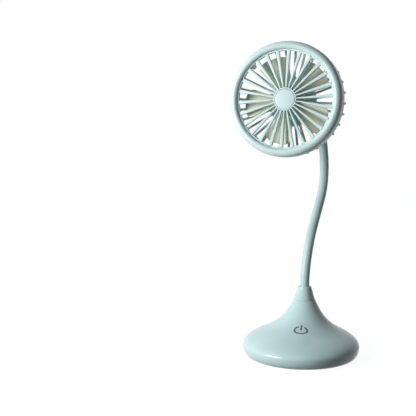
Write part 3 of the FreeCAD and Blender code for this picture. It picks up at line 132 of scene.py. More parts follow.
def speckle(nodes, links, place, size, detail=2.0, stretch=(1, 1, 1)):
    """Noise whose blotches are about size millimetres wide, longer where stretch is small."""
    mapping = nodes.new("ShaderNodeMapping")
    mapping.inputs["Scale"].default_value = stretch
    links.new(place, mapping.inputs["Vector"])
    noise = nodes.new("ShaderNodeTexNoise")
    noise.inputs["Scale"].default_value = 1 / (size * MM)
    noise.inputs["Detail"].default_value = detail
    links.new(mapping.outputs["Vector"], noise.inputs["Vector"])
    return noise.outputs["Fac"]


def spread(nodes, links, source, low, high):
    """The middle of a noise led over to the range from low to high."""
    ranged = nodes.new("ShaderNodeMapRange")
    for socket, value in (
        ("From Min", NOISE_LOW),
        ("From Max", NOISE_HIGH),
        ("To Min", low),
        ("To Max", high),
    ):
        ranged.inputs[socket].default_value = value
    links.new(source, ranged.inputs["Value"])
    return ranged.outputs["Result"]


def tinted(nodes, links, source, colour, change):
    """Colour that drifts a little darker and lighter with a noise."""
    mix = nodes.new("ShaderNodeMix")
    mix.data_type = "RGBA"
    mix.inputs["A"].default_value = [part * (1 - change) for part in colour[:3]] + [1]
    mix.inputs["B"].default_value = [min(part * (1 + change), 1) for part in colour[:3]] + [1]
    links.new(spread(nodes, links, source, 0, 1), mix.inputs["Factor"])
    return mix.outputs["Result"]


def bumped(nodes, links, shader, source, height):
    """Relief of height millimetres from a noise."""
    bump = nodes.new("ShaderNodeBump")
    bump.inputs["Distance"].default_value = height * MM
    links.new(source, bump.inputs["Height"])
    links.new(bump.outputs["Normal"], shader.inputs["Normal"])


def moulded(name, colour, gloss, cloud=0.03, cloud_size=22, grain=0.006, grain_size=0.5, specular=0.5):
    """Moulding of one colour: faintly clouded, with the fine grain of its mould and an uneven gloss."""
    material, nodes, links, shader, place = blank_material(name)
    clouds = speckle(nodes, links, place, cloud_size, 3.0)
    links.new(tinted(nodes, links, clouds, colour, cloud), shader.inputs["Base Color"])
    patches = speckle(nodes, links, place, cloud_size / 3, 4.0)
    links.new(spread(nodes, links, patches, gloss - 0.05, gloss + 0.06), shader.inputs["Roughness"])
    bumped(nodes, links, shader, speckle(nodes, links, place, grain_size, 3.0), grain)
    shader.inputs["Specular IOR Level"].default_value = specular
    return material


PAD_R = 44.05
PAD_THICKNESS = 1.6
PAD_EDGE = 0.35

PAD_RUBBER = moulded(
    "pad_rubber", shade(62, 70, 70), 0.78, cloud=0.14, cloud_size=9, grain=0.05, specular=0.25
)
pad_line = [(0, 0), (PAD_R, 0), (PAD_R, PAD_THICKNESS), (0, PAD_THICKNESS)]
pad_form = soften(turned(pad_line, 128, closed=False), PAD_EDGE, 3)
mount(piece(pad_form, "soft_foot_pad", [PAD_RUBBER]), "base", "foot_pad", "foot_pad")

# Bottom cover with its four screws: a flat moulding of the shell's own plastic that closes the
# base from below. The zinc plated screws sit deep in its bosses, under the foot pad.


def dress(names, material):
    """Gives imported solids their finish."""
    for name in names:
        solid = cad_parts[name]
        solid.data.materials.clear()
        solid.data.materials.append(material)


def drawn_metal(name, colour, roughness, streak=(1, 1, 0.06), scratch=0.004, drift=0.12):
    """Bare or plated metal with the fine lines of its drawing or turning and a few dull patches."""
    material, nodes, links, shader, place = blank_material(name)
    shader.inputs["Metallic"].default_value = 1.0
    dull = speckle(nodes, links, place, 2.5, 3.0)
    links.new(tinted(nodes, links, dull, colour, drift), shader.inputs["Base Color"])
    lines = speckle(nodes, links, place, 0.25, 2.0, streak)
    links.new(spread(nodes, links, lines, roughness - 0.08, roughness + 0.1), shader.inputs["Roughness"])
    bumped(nodes, links, shader, lines, scratch)
    return material


BASE_MINT = moulded("base_mint", shade(193, 221, 221), 0.17, specular=0.4)
ZINC = drawn_metal("zinc_plate", shade(196, 196, 188), 0.34)
dress(["bottom_cover"], BASE_MINT)
dress(["cover_screws", "board_screws"], ZINC)

# Counterweight and battery: a punched steel disc keeps the fan upright. On it stands a pale
# moulded cradle with one round cell in a thin blue wrap, shrunk on and a little wrinkled.

WEIGHT_STEEL = drawn_metal("weight_steel", shade(120, 118, 114), 0.5, streak=(0.05, 1, 1), scratch=0.02)
CRADLE_PLASTIC = moulded("cradle_plastic", shade(214, 214, 206), 0.5, cloud=0.05)
CELL_WRAP = moulded("cell_wrap", shade(58, 104, 152), 0.28, cloud=0.08, grain=0.03, grain_size=2.2)
LEAD_RED = moulded("lead_red", shade(160, 40, 34), 0.45, cloud=0.08, cloud_size=4, grain=0.01)
LEAD_BLACK = moulded("lead_black", shade(34, 35, 37), 0.45, cloud=0.1, cloud_size=4, grain=0.01)
LEAD_WHITE = moulded("lead_white", shade(214, 212, 204), 0.45, cloud=0.06, cloud_size=4, grain=0.01)
dress(["counterweight"], WEIGHT_STEEL)
dress(["battery_cradle"], CRADLE_PLASTIC)
dress(["battery_cell"], CELL_WRAP)
dress(["battery_leads"], LEAD_RED)

# Circuit board: green lacquered glass fibre on two posts of the cover, with a black controller,
# a plug for the leads, a lamp, a capacitor and the bright steel charging socket at its back edge.

TRACK_GRID = 4.0
TRACK_WIDTH = 0.45


def lacquered_board(name, lacquer, track):
    """Solder lacquer over copper tracks, which show through as paler lines."""
    material, nodes, links, shader, place = blank_material(name)
    lines = nodes.new("ShaderNodeTexBrick")
    lines.inputs["Scale"].default_value = 1 / (TRACK_GRID * MM)
    lines.inputs["Mortar Size"].default_value = TRACK_WIDTH / 2 / TRACK_GRID
    lines.inputs["Color1"].default_value = lacquer
    lines.inputs["Color2"].default_value = [part * 0.85 for part in lacquer[:3]] + [1]
    lines.inputs["Mortar"].default_value = track
    links.new(place, lines.inputs["Vector"])
    links.new(lines.outputs["Color"], shader.inputs["Base Color"])
    haze = speckle(nodes, links, place, 3, 3.0)
    links.new(spread(nodes, links, haze, 0.22, 0.36), shader.inputs["Roughness"])
    bumped(nodes, links, shader, lines.outputs["Fac"], 0.03)
    return material


BOARD_GREEN = lacquered_board("board_green", shade(28, 92, 58), shade(58, 132, 84))
CHIP_BLACK = moulded("chip_black", shade(36, 37, 39), 0.5, cloud=0.1, cloud_size=3, grain=0.012)
SOCKET_STEEL = drawn_metal("socket_steel", shade(202, 202, 200), 0.26, streak=(1, 0.08, 1))
dress(["circuit_board"], BOARD_GREEN)
dress(["board_components"], CHIP_BLACK)
dress(["charging_socket"], SOCKET_STEEL)
dress(["base_wires"], LEAD_BLACK)

# Base shell: one injection moulded bell of pale mint plastic. Its round sections drift back
# towards the neck as they narrow, and its back wall has the mouths of charging socket and light.

BASE_R = 59.8
WIDEST_Z = 10.1
BELL_TOP_R = 11.1
BELL_TOP_Z = 54.0
FOOT_TUCK = 5.3
FOOT_Z = 0.8
NECK_HOLE_R = 3.95
NECK_HOLE_LENGTH = 12.0
NECK_HOLE_BELOW = 8.0
SHELL_SIDE = 1.9
SHELL_ROOF = 2.0
NECK_Y = 17.0
RIM_SHARE = 0.485
RIM_POWER = 0.465
NECK_POWER = 4.07
RIM_STEPS = 12
ROOF_STEPS = 56
SOCKET_MOUTH = ((-4.8, 50.8, 9.3), (4.8, 62.1, 13.1))
SOCKET_MOUTH_ROUND = 1.2
LIGHT_MOUTH_R = 1.3
LIGHT_MOUTH_LENGTH = 20.0
WELD = 0.01


def bell_line(side, roof):
    """Half section of the bell from its foot to its top, drawn in by side and lowered by roof."""
    line = []
    foot_angle = math.asin(1 - FOOT_Z / WIDEST_Z)
    for step in range(RIM_STEPS):
        angle = foot_angle * (1 - step / RIM_STEPS)
        line.append((BASE_R - side - FOOT_TUCK * (1 - math.cos(angle)), WIDEST_Z * (1 - math.sin(angle))))
    for step in range(ROOF_STEPS + 1):
        share = (step / ROOF_STEPS) ** 2
        rise = RIM_SHARE * share**RIM_POWER + (1 - RIM_SHARE) * share**NECK_POWER
        height = WIDEST_Z + (BELL_TOP_Z - WIDEST_Z) * rise
        lowered = roof * (1 - (1 - share) ** 8)
        line.append((BASE_R - side - share * (BASE_R - BELL_TOP_R), height - lowered))
    return line


def drift_back(form, side):
    """Moves each round section of the bell back by as much as it has narrowed."""
    for vert in form.verts:
        radius = math.hypot(vert.co.x, vert.co.y) / MM + side
        vert.co.y += MM * NECK_Y * min((BASE_R - radius) / (BASE_R - BELL_TOP_R), 1)
    return form


def cut_out(thing, tool):
    """Takes the form of a tool out of a piece, welds the cut and throws the tool away."""
    cutter = bpy.data.objects.new("cutter", bpy.data.meshes.new("cutter"))
    tool.to_mesh(cutter.data)
    tool.free()
    bpy.context.scene.collection.objects.link(cutter)
    cut = thing.modifiers.new("cut", "BOOLEAN")
    cut.operation = "DIFFERENCE"
    cut.solver = "EXACT"
    cut.object = cutter
    cut_thing = thing.evaluated_get(bpy.context.evaluated_depsgraph_get())
    shaped = bpy.data.meshes.new_from_object(cut_thing)
    thing.modifiers.clear()
    thing.data = shaped
    bpy.data.objects.remove(cutter)
    clean = bmesh.new()
    clean.from_mesh(shaped)
    bmesh.ops.remove_doubles(clean, verts=clean.verts, dist=WELD * MM)
    bmesh.ops.dissolve_degenerate(clean, edges=clean.edges, dist=WELD / 2 * MM)
    clean.to_mesh(shaped)
    clean.free()


def rounded_block(low, high, edge, segments):
    """Block between two corners with its edges along y rounded."""
    form = bmesh.new()
    bmesh.ops.create_cube(form, size=1)
    size = [(b - a) * MM for a, b in zip(low, high)]
    middle = [(a + b) / 2 * MM for a, b in zip(low, high)]
    bmesh.ops.scale(form, vec=size, verts=form.verts)
    bmesh.ops.translate(form, vec=middle, verts=form.verts)
    return soften(form, edge, segments, keep=lambda e: abs((e.verts[0].co - e.verts[1].co).y) > 1e-5)


def upright_rod(radius, length, segments=48):
    """Round rod along z from the origin up."""
    form = bmesh.new()
    bmesh.ops.create_cone(
        form,
        cap_ends=True,
        segments=segments,
        radius1=radius * MM,
        radius2=radius * MM,
        depth=length * MM,
    )
    bmesh.ops.translate(form, vec=(0, 0, length / 2 * MM), verts=form.verts)
    return form


LIGHT_PLACE = Matrix.Translation((10.5 * MM, 51 * MM, 11.2 * MM)) @ Matrix.Rotation(
    math.radians(-90), 4, "X"
)
outer_line = [(0, FOOT_Z)] + bell_line(0, 0) + [(0, BELL_TOP_Z)]
shell = piece(drift_back(turned(outer_line, 224, closed=False), 0), "mint_base_shell", [BASE_MINT])
inner_line = [(0, FOOT_Z - 2), (BASE_R - FOOT_TUCK - SHELL_SIDE, FOOT_Z - 2)]
inner_line += bell_line(SHELL_SIDE, SHELL_ROOF) + [(0, BELL_TOP_Z - SHELL_ROOF)]
cut_out(shell, drift_back(turned(inner_line, 128, closed=False), SHELL_SIDE))
neck_hole = upright_rod(NECK_HOLE_R, NECK_HOLE_LENGTH)
neck_hole_foot = (0, NECK_Y * MM, (BELL_TOP_Z - NECK_HOLE_BELOW) * MM)
bmesh.ops.translate(neck_hole, vec=neck_hole_foot, verts=neck_hole.verts)
cut_out(shell, neck_hole)
cut_out(shell, rounded_block(*SOCKET_MOUTH, SOCKET_MOUTH_ROUND, 5))
light_hole = upright_rod(LIGHT_MOUTH_R, LIGHT_MOUTH_LENGTH)
bmesh.ops.transform(light_hole, matrix=LIGHT_PLACE, verts=light_hole.verts)
cut_out(shell, light_hole)
shell.data.shade_smooth()
shell.data.set_sharp_from_angle(angle=math.radians(32))
mount(shell, "base", "base_shell", "base_shell")

# Charge light: a short rod of milky clear plastic that leads the lamp's light out of the shell's
# back, with a domed end.

GUIDE_R = 1.2
GUIDE_LENGTH = 7.5
GUIDE_DOME = 0.5

LIGHT_GUIDE = moulded("light_guide", shade(226, 232, 226), 0.2, cloud=0.02)
guide_shader = LIGHT_GUIDE.node_tree.nodes["Principled BSDF"]
guide_shader.inputs["Subsurface Weight"].default_value = 0.25
guide_shader.inputs["Subsurface Radius"].default_value = (0.002, 0.002, 0.002)
guide = soften(upright_rod(GUIDE_R, GUIDE_LENGTH), GUIDE_DOME, 4)
bmesh.ops.transform(guide, matrix=LIGHT_PLACE, verts=guide.verts)
mount(piece(guide, "clear_light_guide", [LIGHT_GUIDE]), "base", "light_guide", "charge_light")

# Power mark and touch switch: a copper foil stuck under the roof feels the finger, a thin lead
# takes it to the board, and the mark is printed over it in dark grey ink on the shell.

MARK_SLOPE = Matrix.Rotation(math.radians(24), 4, "X")
MARK_PLACE = Matrix.Translation((3.6 * MM, -19.1 * MM, 30.25 * MM)) @ MARK_SLOPE
MARK_HALF_WIDTH = 7.4
MARK_HALF_HEIGHT = 5.8
MARK_STROKE = 1.8
MARK_OPENING = 5.4
BAR_FOOT = 0.6
BAR_TOP = 6.4
INK_RISE = 0.03
INK_DEPTH = 0.25

COPPER = drawn_metal("copper_foil", shade(206, 138, 104), 0.32, streak=(0.2, 1, 1))
INK = moulded("mark_ink", shade(84, 88, 88), 0.5, cloud=0.06, cloud_size=2, grain=0.004)
dress(["touch_pad"], COPPER)
dress(["touch_lead"], LEAD_WHITE)

mark = bmesh.new()
middle_line = [mark.verts.new((across, 0, 0)) for across in (0.0, 1 / 3, 2 / 3, 1.0)]
spokes = [mark.edges.new(pair) for pair in zip(middle_line, middle_line[1:])]
bmesh.ops.translate(mark, vec=(1, 0, 0), verts=mark.verts)
bmesh.ops.spin(
    mark,
    geom=middle_line + spokes,
    axis=(0, 0, 1),
    cent=(0, 0, 0),
    steps=96,
    angle=FULL_TURN,
    use_merge=True,
)
for vert in mark.verts:
    reach = vert.co.to_2d().length
    inset = MARK_STROKE * (2 - reach)
    vert.co = Vector(
        (
            vert.co.x / reach * (MARK_HALF_WIDTH - inset) * MM,
            vert.co.y / reach * (MARK_HALF_HEIGHT - inset) * MM,
            0,
        )
    )
for side in (-1, 1):
    bmesh.ops.bisect_plane(
        mark,
        geom=mark.verts[:] + mark.edges[:] + mark.faces[:],
        plane_co=(side * MARK_OPENING / 2 * MM, 0, 0),
        plane_no=(1, 0, 0),
    )
gap = [
    face
    for face in mark.faces
    if face.calc_center_median().y > 0 and abs(face.calc_center_median().x) < MARK_OPENING / 2 * MM
]
bmesh.ops.delete(mark, geom=gap, context="FACES")
bar = bmesh.new()
bmesh.ops.create_circle(bar, cap_ends=True, segments=32, radius=MARK_STROKE / 2 * MM)
for vert in bar.verts:
    vert.co.y += (BAR_TOP if vert.co.y > 0 else BAR_FOOT) * MM
for step in range(1, 12):
    bmesh.ops.bisect_plane(
        bar,
        geom=bar.verts[:] + bar.edges[:] + bar.faces[:],
        plane_co=(0, (BAR_FOOT + step / 12 * (BAR_TOP - BAR_FOOT)) * MM, 0),
        plane_no=(0, 1, 0),
    )
bar_mesh = bpy.data.meshes.new("bar")
bar.to_mesh(bar_mesh)
bar.free()
mark.from_mesh(bar_mesh)
bpy.data.meshes.remove(bar_mesh)
bmesh.ops.transform(mark, matrix=MARK_PLACE, verts=mark.verts)
shell_surface = BVHTree.FromObject(shell, bpy.context.evaluated_depsgraph_get())
above = MARK_PLACE.to_3x3() @ Vector((0, 0, 1))
for vert in mark.verts:
    meeting = shell_surface.ray_cast(vert.co + above * 20 * MM, -above)[0]
    vert.co = meeting + above * INK_RISE * MM
bmesh.ops.recalc_face_normals(mark, faces=mark.faces)
skin = bmesh.ops.extrude_face_region(mark, geom=mark.faces[:])
lowered = [item for item in skin["geom"] if isinstance(item, bmesh.types.BMVert)]
bmesh.ops.translate(mark, vec=-above * INK_DEPTH * MM, verts=lowered)
bmesh.ops.recalc_face_normals(mark, faces=mark.faces)
mount(piece(mark, "printed_power_mark", [INK]), "base", "mark", "power_icon")

# Collar: a small moulded cone, seated on the shell's top and drawn down by the neck's ferrule.
# The ferrule, its nut and the washer under the roof are turned from plated steel.


def arc(start, end, radius, steps=8):
    """Points along a bow that bulges to the right of the way, or to its left if radius is below 0."""
    first, last = Vector(start), Vector(end)
    chord = last - first
    rise = math.copysign(math.sqrt(radius * radius - chord.length_squared / 4), radius)
    middle = (first + last) / 2 + Vector((-chord.y, chord.x)).normalized() * rise
    swing = 2 * math.asin(chord.length / 2 / abs(radius)) * math.copysign(1, radius)
    points = []
    for step in range(steps + 1):
        points.append(tuple(middle + Matrix.Rotation(swing * step / steps, 2) @ (first - middle)))
    return points


COLLAR_R = 10.9
COLLAR_TOP_R = 7.05
COLLAR_TOP_Z = 68.0
COLLAR_STEP_Z = 57.0
COLLAR_LIP = 1.0
SLEEVE_BORE_R = 5.1

collar = turned(
    [(NECK_HOLE_R, BELL_TOP_Z), (COLLAR_R, BELL_TOP_Z)]
    + arc((COLLAR_TOP_R, COLLAR_TOP_Z - 1.2), (COLLAR_TOP_R - COLLAR_LIP, COLLAR_TOP_Z), 1.2, 6)
    + [
        (SLEEVE_BORE_R, COLLAR_TOP_Z),
        (SLEEVE_BORE_R, COLLAR_STEP_Z),
        (NECK_HOLE_R, COLLAR_STEP_Z),
    ],
    128,
)
soften(collar, 0.22, 2)
bmesh.ops.translate(collar, vec=(0, NECK_Y * MM, 0), verts=collar.verts)
mount(piece(collar, "mint_neck_collar", [BASE_MINT]), "base", "base_shell", "neck_collar")
dress(["bottom_ferrule", "bottom_ferrule_nut", "ferrule_washer", "top_ferrule", "top_ferrule_nut"], ZINC)

# Neck: two wires run up the bore of a close wound steel tube, which stays where it is bent, and
# a silicone sleeve of the shell's colour is pulled over it. The winding shows faintly at its foot.

HEAD = (
    Matrix.Translation((-19.5 * MM, -2.4 * MM, 262.1 * MM))
    @ Matrix.Rotation(math.radians(-3.2), 4, "Z")
    @ Matrix.Rotation(math.radians(90 - 6.57), 4, "X")
)
NECK_CORNERS = [
    Vector(corner) * MM
    for corner in (
        (0, 17, 52),
        (0, 17, 83.5),
        (2, 32, 116.5),
        (5, 54, 141.5),
        (8, 72, 163.5),
        (7, 86, 188),
        (3.5, 90.5, 218.5),
        (-8, 77, 244.5),
    )
] + [HEAD @ Vector((0, 0, -depth * MM)) for depth in (54.2, 36.0)]
CORNER_SHARE = 0.45
CORNER_STEPS = 40
LINE_STEP = 0.25
FIRST_BEND = 35.7
LAST_BEND = 32.6
SLEEVE_START = 6.4
SLEEVE_END = 1.9
CORE_START = 17.0
CORE_END = -8.0
SLEEVE_R = 4.9
SLEEVE_INNER_R = 3.95
CORE_R = 3.85
CORE_BORE_R = 2.2
FOOT_RELIEF = 0.11
RELIEF_LEFT = 0.012
RELIEF_PITCH = 1.9
FADE_START = 16.0
FADE_LENGTH = 14.0
COIL_PITCH = 2.0
COIL_DEPTH = 0.32
WIRE_R = 0.65
WIRE_SPREAD = 0.75
BLEND_START = 18.0
BLEND_END = 12.9


def neck_line():
    """Points close together along the neck, with each corner of its route rounded off."""
    line = [NECK_CORNERS[0]]
    for before, corner, after in zip(NECK_CORNERS, NECK_CORNERS[1:], NECK_CORNERS[2:]):
        share = CORNER_SHARE * min((before - corner).length, (after - corner).length)
        come = corner + (before - corner).normalized() * share
        leave = corner + (after - corner).normalized() * share
        for step in range(CORNER_STEPS + 1):
            part = step / CORNER_STEPS
            line.append(come.lerp(corner, part).lerp(corner.lerp(leave, part), part))
    line.append(NECK_CORNERS[-1])
    even = [line[0]]
    for start, end in zip(line, line[1:]):
        count = max(1, round((end - start).length / (LINE_STEP * MM)))
        even += [start.lerp(end, step / count) for step in range(1, count + 1)]
    return even


class Neck:
    """Line of the neck with a frame at every station along it that follows its bends untwisted."""

    def __init__(self):
        self.points = neck_line()
        self.stations = [0.0]
        for start, end in zip(self.points, self.points[1:]):
            self.stations.append(self.stations[-1] + (end - start).length / MM)
        self.length = self.stations[-1]
        side = Vector((1, 0, 0))
        self.frames = []
        for index, point in enumerate(self.points):
            ahead = self.points[min(index + 1, len(self.points) - 1)] - self.points[max(index - 1, 0)]
            ahead.normalize()
            side = (side - ahead * side.dot(ahead)).normalized()
            turn = Matrix((side, ahead.cross(side), ahead)).transposed().to_4x4()
            self.frames.append(Matrix.Translation(point) @ turn)

    def at(self, station):
        """Frame at a distance along the neck: its z runs along the neck."""
        share = min(max(station / self.length, 0), 1) * (len(self.frames) - 1)
        index = min(int(share), len(self.frames) - 2)
        while index > 0 and self.stations[index] > station:
            index -= 1
        while index < len(self.frames) - 2 and self.stations[index + 1] < station:
            index += 1
        part = (station - self.stations[index]) / (self.stations[index + 1] - self.stations[index])
        return self.frames[index].lerp(self.frames[index + 1], min(max(part, 0), 1))


NECK = Neck()


def ring_along(form, radius, stations, around, relief=None, offset=0.0):
    """Tube wall along the neck, extruded from ring to ring, with relief(station, angle) on its radius."""
    start = NECK.at(stations[0])
    made = bmesh.ops.create_circle(form, cap_ends=False, segments=around, radius=radius * MM)
    rim = made["verts"]
    edges = list({edge for vert in rim for edge in vert.link_edges})
    bmesh.ops.translate(form, vec=(offset * MM, 0, 0), verts=rim)
    bmesh.ops.transform(form, matrix=start, verts=rim)
    first = edges
    rings = [(stations[0], rim)]
    for low, high in zip(stations, stations[1:]):
        made = bmesh.ops.extrude_edge_only(form, edges=edges)
        rim = [item for item in made["geom"] if isinstance(item, bmesh.types.BMVert)]
        edges = [item for item in made["geom"] if isinstance(item, bmesh.types.BMEdge)]
        bmesh.ops.transform(form, matrix=NECK.at(high) @ NECK.at(low).inverted(), verts=rim)
        rings.append((high, rim))
    if relief:
        for station, rim in rings:
            back = NECK.at(station).inverted()
            middle = NECK.at(station).translation
            for vert in rim:
                local = back @ vert.co
                height = relief(station, math.atan2(local.y, local.x))
                vert.co = middle + (vert.co - middle) * (1 + height / radius)
    return first, edges


def stations_between(low, high, step):
    """Even stations from low to high, about step apart."""
    count = max(2, round((high - low) / step))
    return [low + (high - low) * index / count for index in range(count + 1)]


def wound(pitch, depth):
    """Relief of round wire wound close: it falls by depth between one turn and the next."""

    def relief(station, angle):
        return depth * (abs(math.sin(math.pi * (station / pitch - angle / FULL_TURN))) - 1)

    return relief


def foot_relief(station, angle):
    """The winding pressed through the sleeve: plain near the foot, hardly there further up."""
    strength = FOOT_RELIEF * math.exp(-max(station - FADE_START, 0) / FADE_LENGTH) + RELIEF_LEFT
    return -strength * (0.5 + 0.5 * math.cos(FULL_TURN * station / RELIEF_PITCH - angle))


def silicone(name, colour):
    """Soft silicone: matt with a waxy shine, and the winding's turns felt through it."""
    material, nodes, links, shader, place = blank_material(name)
    clouds = speckle(nodes, links, place, 30, 3.0)
    links.new(tinted(nodes, links, clouds, colour, 0.035), shader.inputs["Base Color"])
    patches = speckle(nodes, links, place, 6, 3.0)
    links.new(spread(nodes, links, patches, 0.36, 0.46), shader.inputs["Roughness"])
    bumped(nodes, links, shader, speckle(nodes, links, place, 0.7, 2.0), 0.012)
    shader.inputs["Sheen Weight"].default_value = 0.06
    return material


SILICONE = silicone("neck_silicone", shade(188, 217, 214))
COIL_STEEL = drawn_metal("coil_steel", shade(150, 148, 142), 0.36, streak=(0.3, 0.3, 1))

bend_step = (NECK.length - FIRST_BEND - LAST_BEND) / 5
bends = [FIRST_BEND + bend_step * index for index in range(6)]
between = [(low + high) / 2 for low, high in zip(bends, bends[1:])]
sleeve_cuts = [SLEEVE_START] + between + [NECK.length - SLEEVE_END]
core_cuts = [CORE_START] + between + [NECK.length + CORE_END]
blend_cuts = [BLEND_START] + between + [NECK.length - BLEND_END]


def bend_with_neck(thing, index, slot, *nodes):
    """Bakes a stretch of the neck where it stands and hides the plain solids that it stands for."""
    NECK.at(blend_cuts[index]).translation
    NECK.at(blend_cuts[index + 1]).translation
    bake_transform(thing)
    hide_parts(*nodes)


def pipe(name, material, radius, bore, low, high, step, around, relief):
    """Hollow stretch of the neck, its outer and inner wall joined at both ends."""
    form = bmesh.new()
    places = stations_between(low, high, step)
    outer_start, outer_end = ring_along(form, radius, places, around, relief)
    inner_start, inner_end = ring_along(form, bore, stations_between(low, high, 2.0), around)
    bmesh.ops.bridge_loops(form, edges=outer_start + inner_start)
    bmesh.ops.bridge_loops(form, edges=outer_end + inner_end)
    bmesh.ops.recalc_face_normals(form, faces=form.faces)
    return piece(form, name, [material], 60)


for index in range(6):
    number = index + 1
    sleeve = pipe(
        "silicone_sleeve_%d" % number,
        SILICONE,
        SLEEVE_R,
        SLEEVE_INNER_R,
        sleeve_cuts[index],
        sleeve_cuts[index + 1],
        0.32 if index == 0 else 0.6,
        48,
        foot_relief,
    )
    bend_with_neck(sleeve, index, "neck_sleeve", "neck_sleeve_%d" % number)
    coil = pipe(
        "wound_core_%d" % number,
        COIL_STEEL,
        CORE_R,
        CORE_BORE_R,
        core_cuts[index],
        core_cuts[index + 1],
        0.3,
        28,
        wound(COIL_PITCH, COIL_DEPTH),
    )
    cores = ["neck_core_%d" % number] + (["neck_core_7"] if number == 6 else [])
    bend_with_neck(coil, index, "neck_core", *cores)
    pair = bmesh.new()
    for wire_index, offset in enumerate((-WIRE_SPREAD, WIRE_SPREAD)):
        before = len(pair.faces)
        places = stations_between(core_cuts[index], core_cuts[index + 1], 1.2)
        start, end = ring_along(pair, WIRE_R, places, 14, offset=offset)
        bmesh.ops.holes_fill(pair, edges=start + end)
        pair.faces.ensure_lookup_table()
        for face in pair.faces[before:]:
            face.material_index = wire_index
    bmesh.ops.recalc_face_normals(pair, faces=pair.faces)
    wires = piece(pair, "neck_wire_pair_%d" % number, [LEAD_RED, LEAD_BLACK], 50)
    bend_with_neck(wires, index, "wires", "neck_wires_%d" % number)

# Motor: a small brushed motor in a drawn steel can, closed by a black end bell, with bronze
# bushes, ferrite magnets and a copper wound armature. Two screws hold it in the housing's boss.

CAN_STEEL = drawn_metal("can_steel", shade(176, 178, 180), 0.3)
BELL_BLACK = moulded("bell_black", shade(40, 41, 43), 0.42, cloud=0.08, cloud_size=5)
BRONZE = drawn_metal("bush_bronze", shade(176, 134, 82), 0.4)
FERRITE = drawn_metal("magnet_ferrite", shade(64, 64, 68), 0.6)
WINDING = drawn_metal("copper_winding", shade(170, 96, 58), 0.35, streak=(1, 1, 0.1), scratch=0.05)
dress(["motor_can", "motor_shaft"], CAN_STEEL)
dress(["motor_end_bell"], BELL_BLACK)
dress(["motor_bushes"], BRONZE)
dress(["motor_magnets"], FERRITE)
dress(["motor_armature"], WINDING)
dress(["motor_leads"], LEAD_BLACK)
dress(["motor_screws"], ZINC)

# Rear housing: one mint moulding of the smooth side band, the thirty two ribs that bulge past
# it and dome in to the flange, and the cup in the middle that holds the motor.

HEAD_MINT = moulded("head_mint", shade(204, 226, 225), 0.3, specular=0.35)
HEAD_WALL = 1.8
BAND_R = 58.2
BAND_LIP_R = 58.1
BAND_BACK_R = 56.1
BAND_FRONT = -8.0
BAND_SHOULDER = -9.5
BAND_BACK = -21.0
BAND_BOW = 60.0
RIB_PHASE = -24.4
RIB_WIDTH = 2.4
RIB_COUNT = 32
RIB_START_R = 24.5
RIB_BACK = -32.3
RIB_DEPTH = 2.2
RIB_BOW = 120.0
RIB_CORNER = (52.5, -29.6)
RIB_CORNER_INSIDE = (51.2, -27.6)
RIB_BULGE = (57.1, -24.2)
MOTOR_CUP_R = 15.5
MOTOR_CUP_BORE_R = 13.7
MOTOR_CUP_FLOOR = -17.0
MOTOR_CUP_FRONT = -15.2
MOTOR_HOLE_R = 3.2
FLANGE_R = 25.5
FLANGE_FRONT = -30.3
FLANGE_BACK = -32.5
POST_RING_R = 52.4
POST_PHASE = 48.7
POST_COUNT = 4
POST_BACK = -19.0
HOUSING_POST_R = 2.9
HOUSING_POST_FRONT = -10.7
CAP_RING_R = 19.8
CAP_PHASE = 90.0
CAP_POST_COUNT = 3
CAP_POST_R = 2.2
CAP_POST_FRONT = -26.5


def join_to(form, other):
    """Adds a second form to the first."""
    loan = bpy.data.meshes.new("loan")
    other.to_mesh(loan)
    other.free()
    form.from_mesh(loan)
    bpy.data.meshes.remove(loan)
    return form


def plate(outline, thickness):
    """Flat form with its outline across and up, as thick as given about the middle."""
    form = bmesh.new()
    corners = [form.verts.new((across * MM, -thickness / 2 * MM, up * MM)) for across, up in outline]
    face = form.faces.new(corners)
    made = bmesh.ops.extrude_face_region(form, geom=[face])
    far = [item for item in made["geom"] if isinstance(item, bmesh.types.BMVert)]
    bmesh.ops.translate(form, vec=(0, thickness * MM, 0), verts=far)
    bmesh.ops.recalc_face_normals(form, faces=form.faces)
    return form


def ring_of(form, count):
    """Copies of a form all round the z axis."""
    bmesh.ops.spin(
        form,
        geom=form.verts[:] + form.edges[:] + form.faces[:],
        axis=(0, 0, 1),
        cent=(0, 0, 0),
        steps=count - 1,
        angle=FULL_TURN * (count - 1) / count,
        use_duplicate=True,
    )
    return form


def in_head(form, phase=0.0):
    """Turns a form about the head's axis and stands it where the head is."""
    turn = Matrix.Rotation(math.radians(phase), 4, "Z")
    bmesh.ops.transform(form, matrix=HEAD @ turn, verts=form.verts)
    return form


def on_ring(ring_r, phase, height):
    """Place on a ring about the head's axis."""
    angle = math.radians(phase)
    return Vector((ring_r * math.cos(angle), ring_r * math.sin(angle), height)) * MM


def posts(radius, low, high, ring_r, phase, count):
    """Round posts at even places on a ring."""
    form = upright_rod(radius, high - low, 24)
    bmesh.ops.translate(form, vec=on_ring(ring_r, phase, low), verts=form.verts)
    return ring_of(form, count)


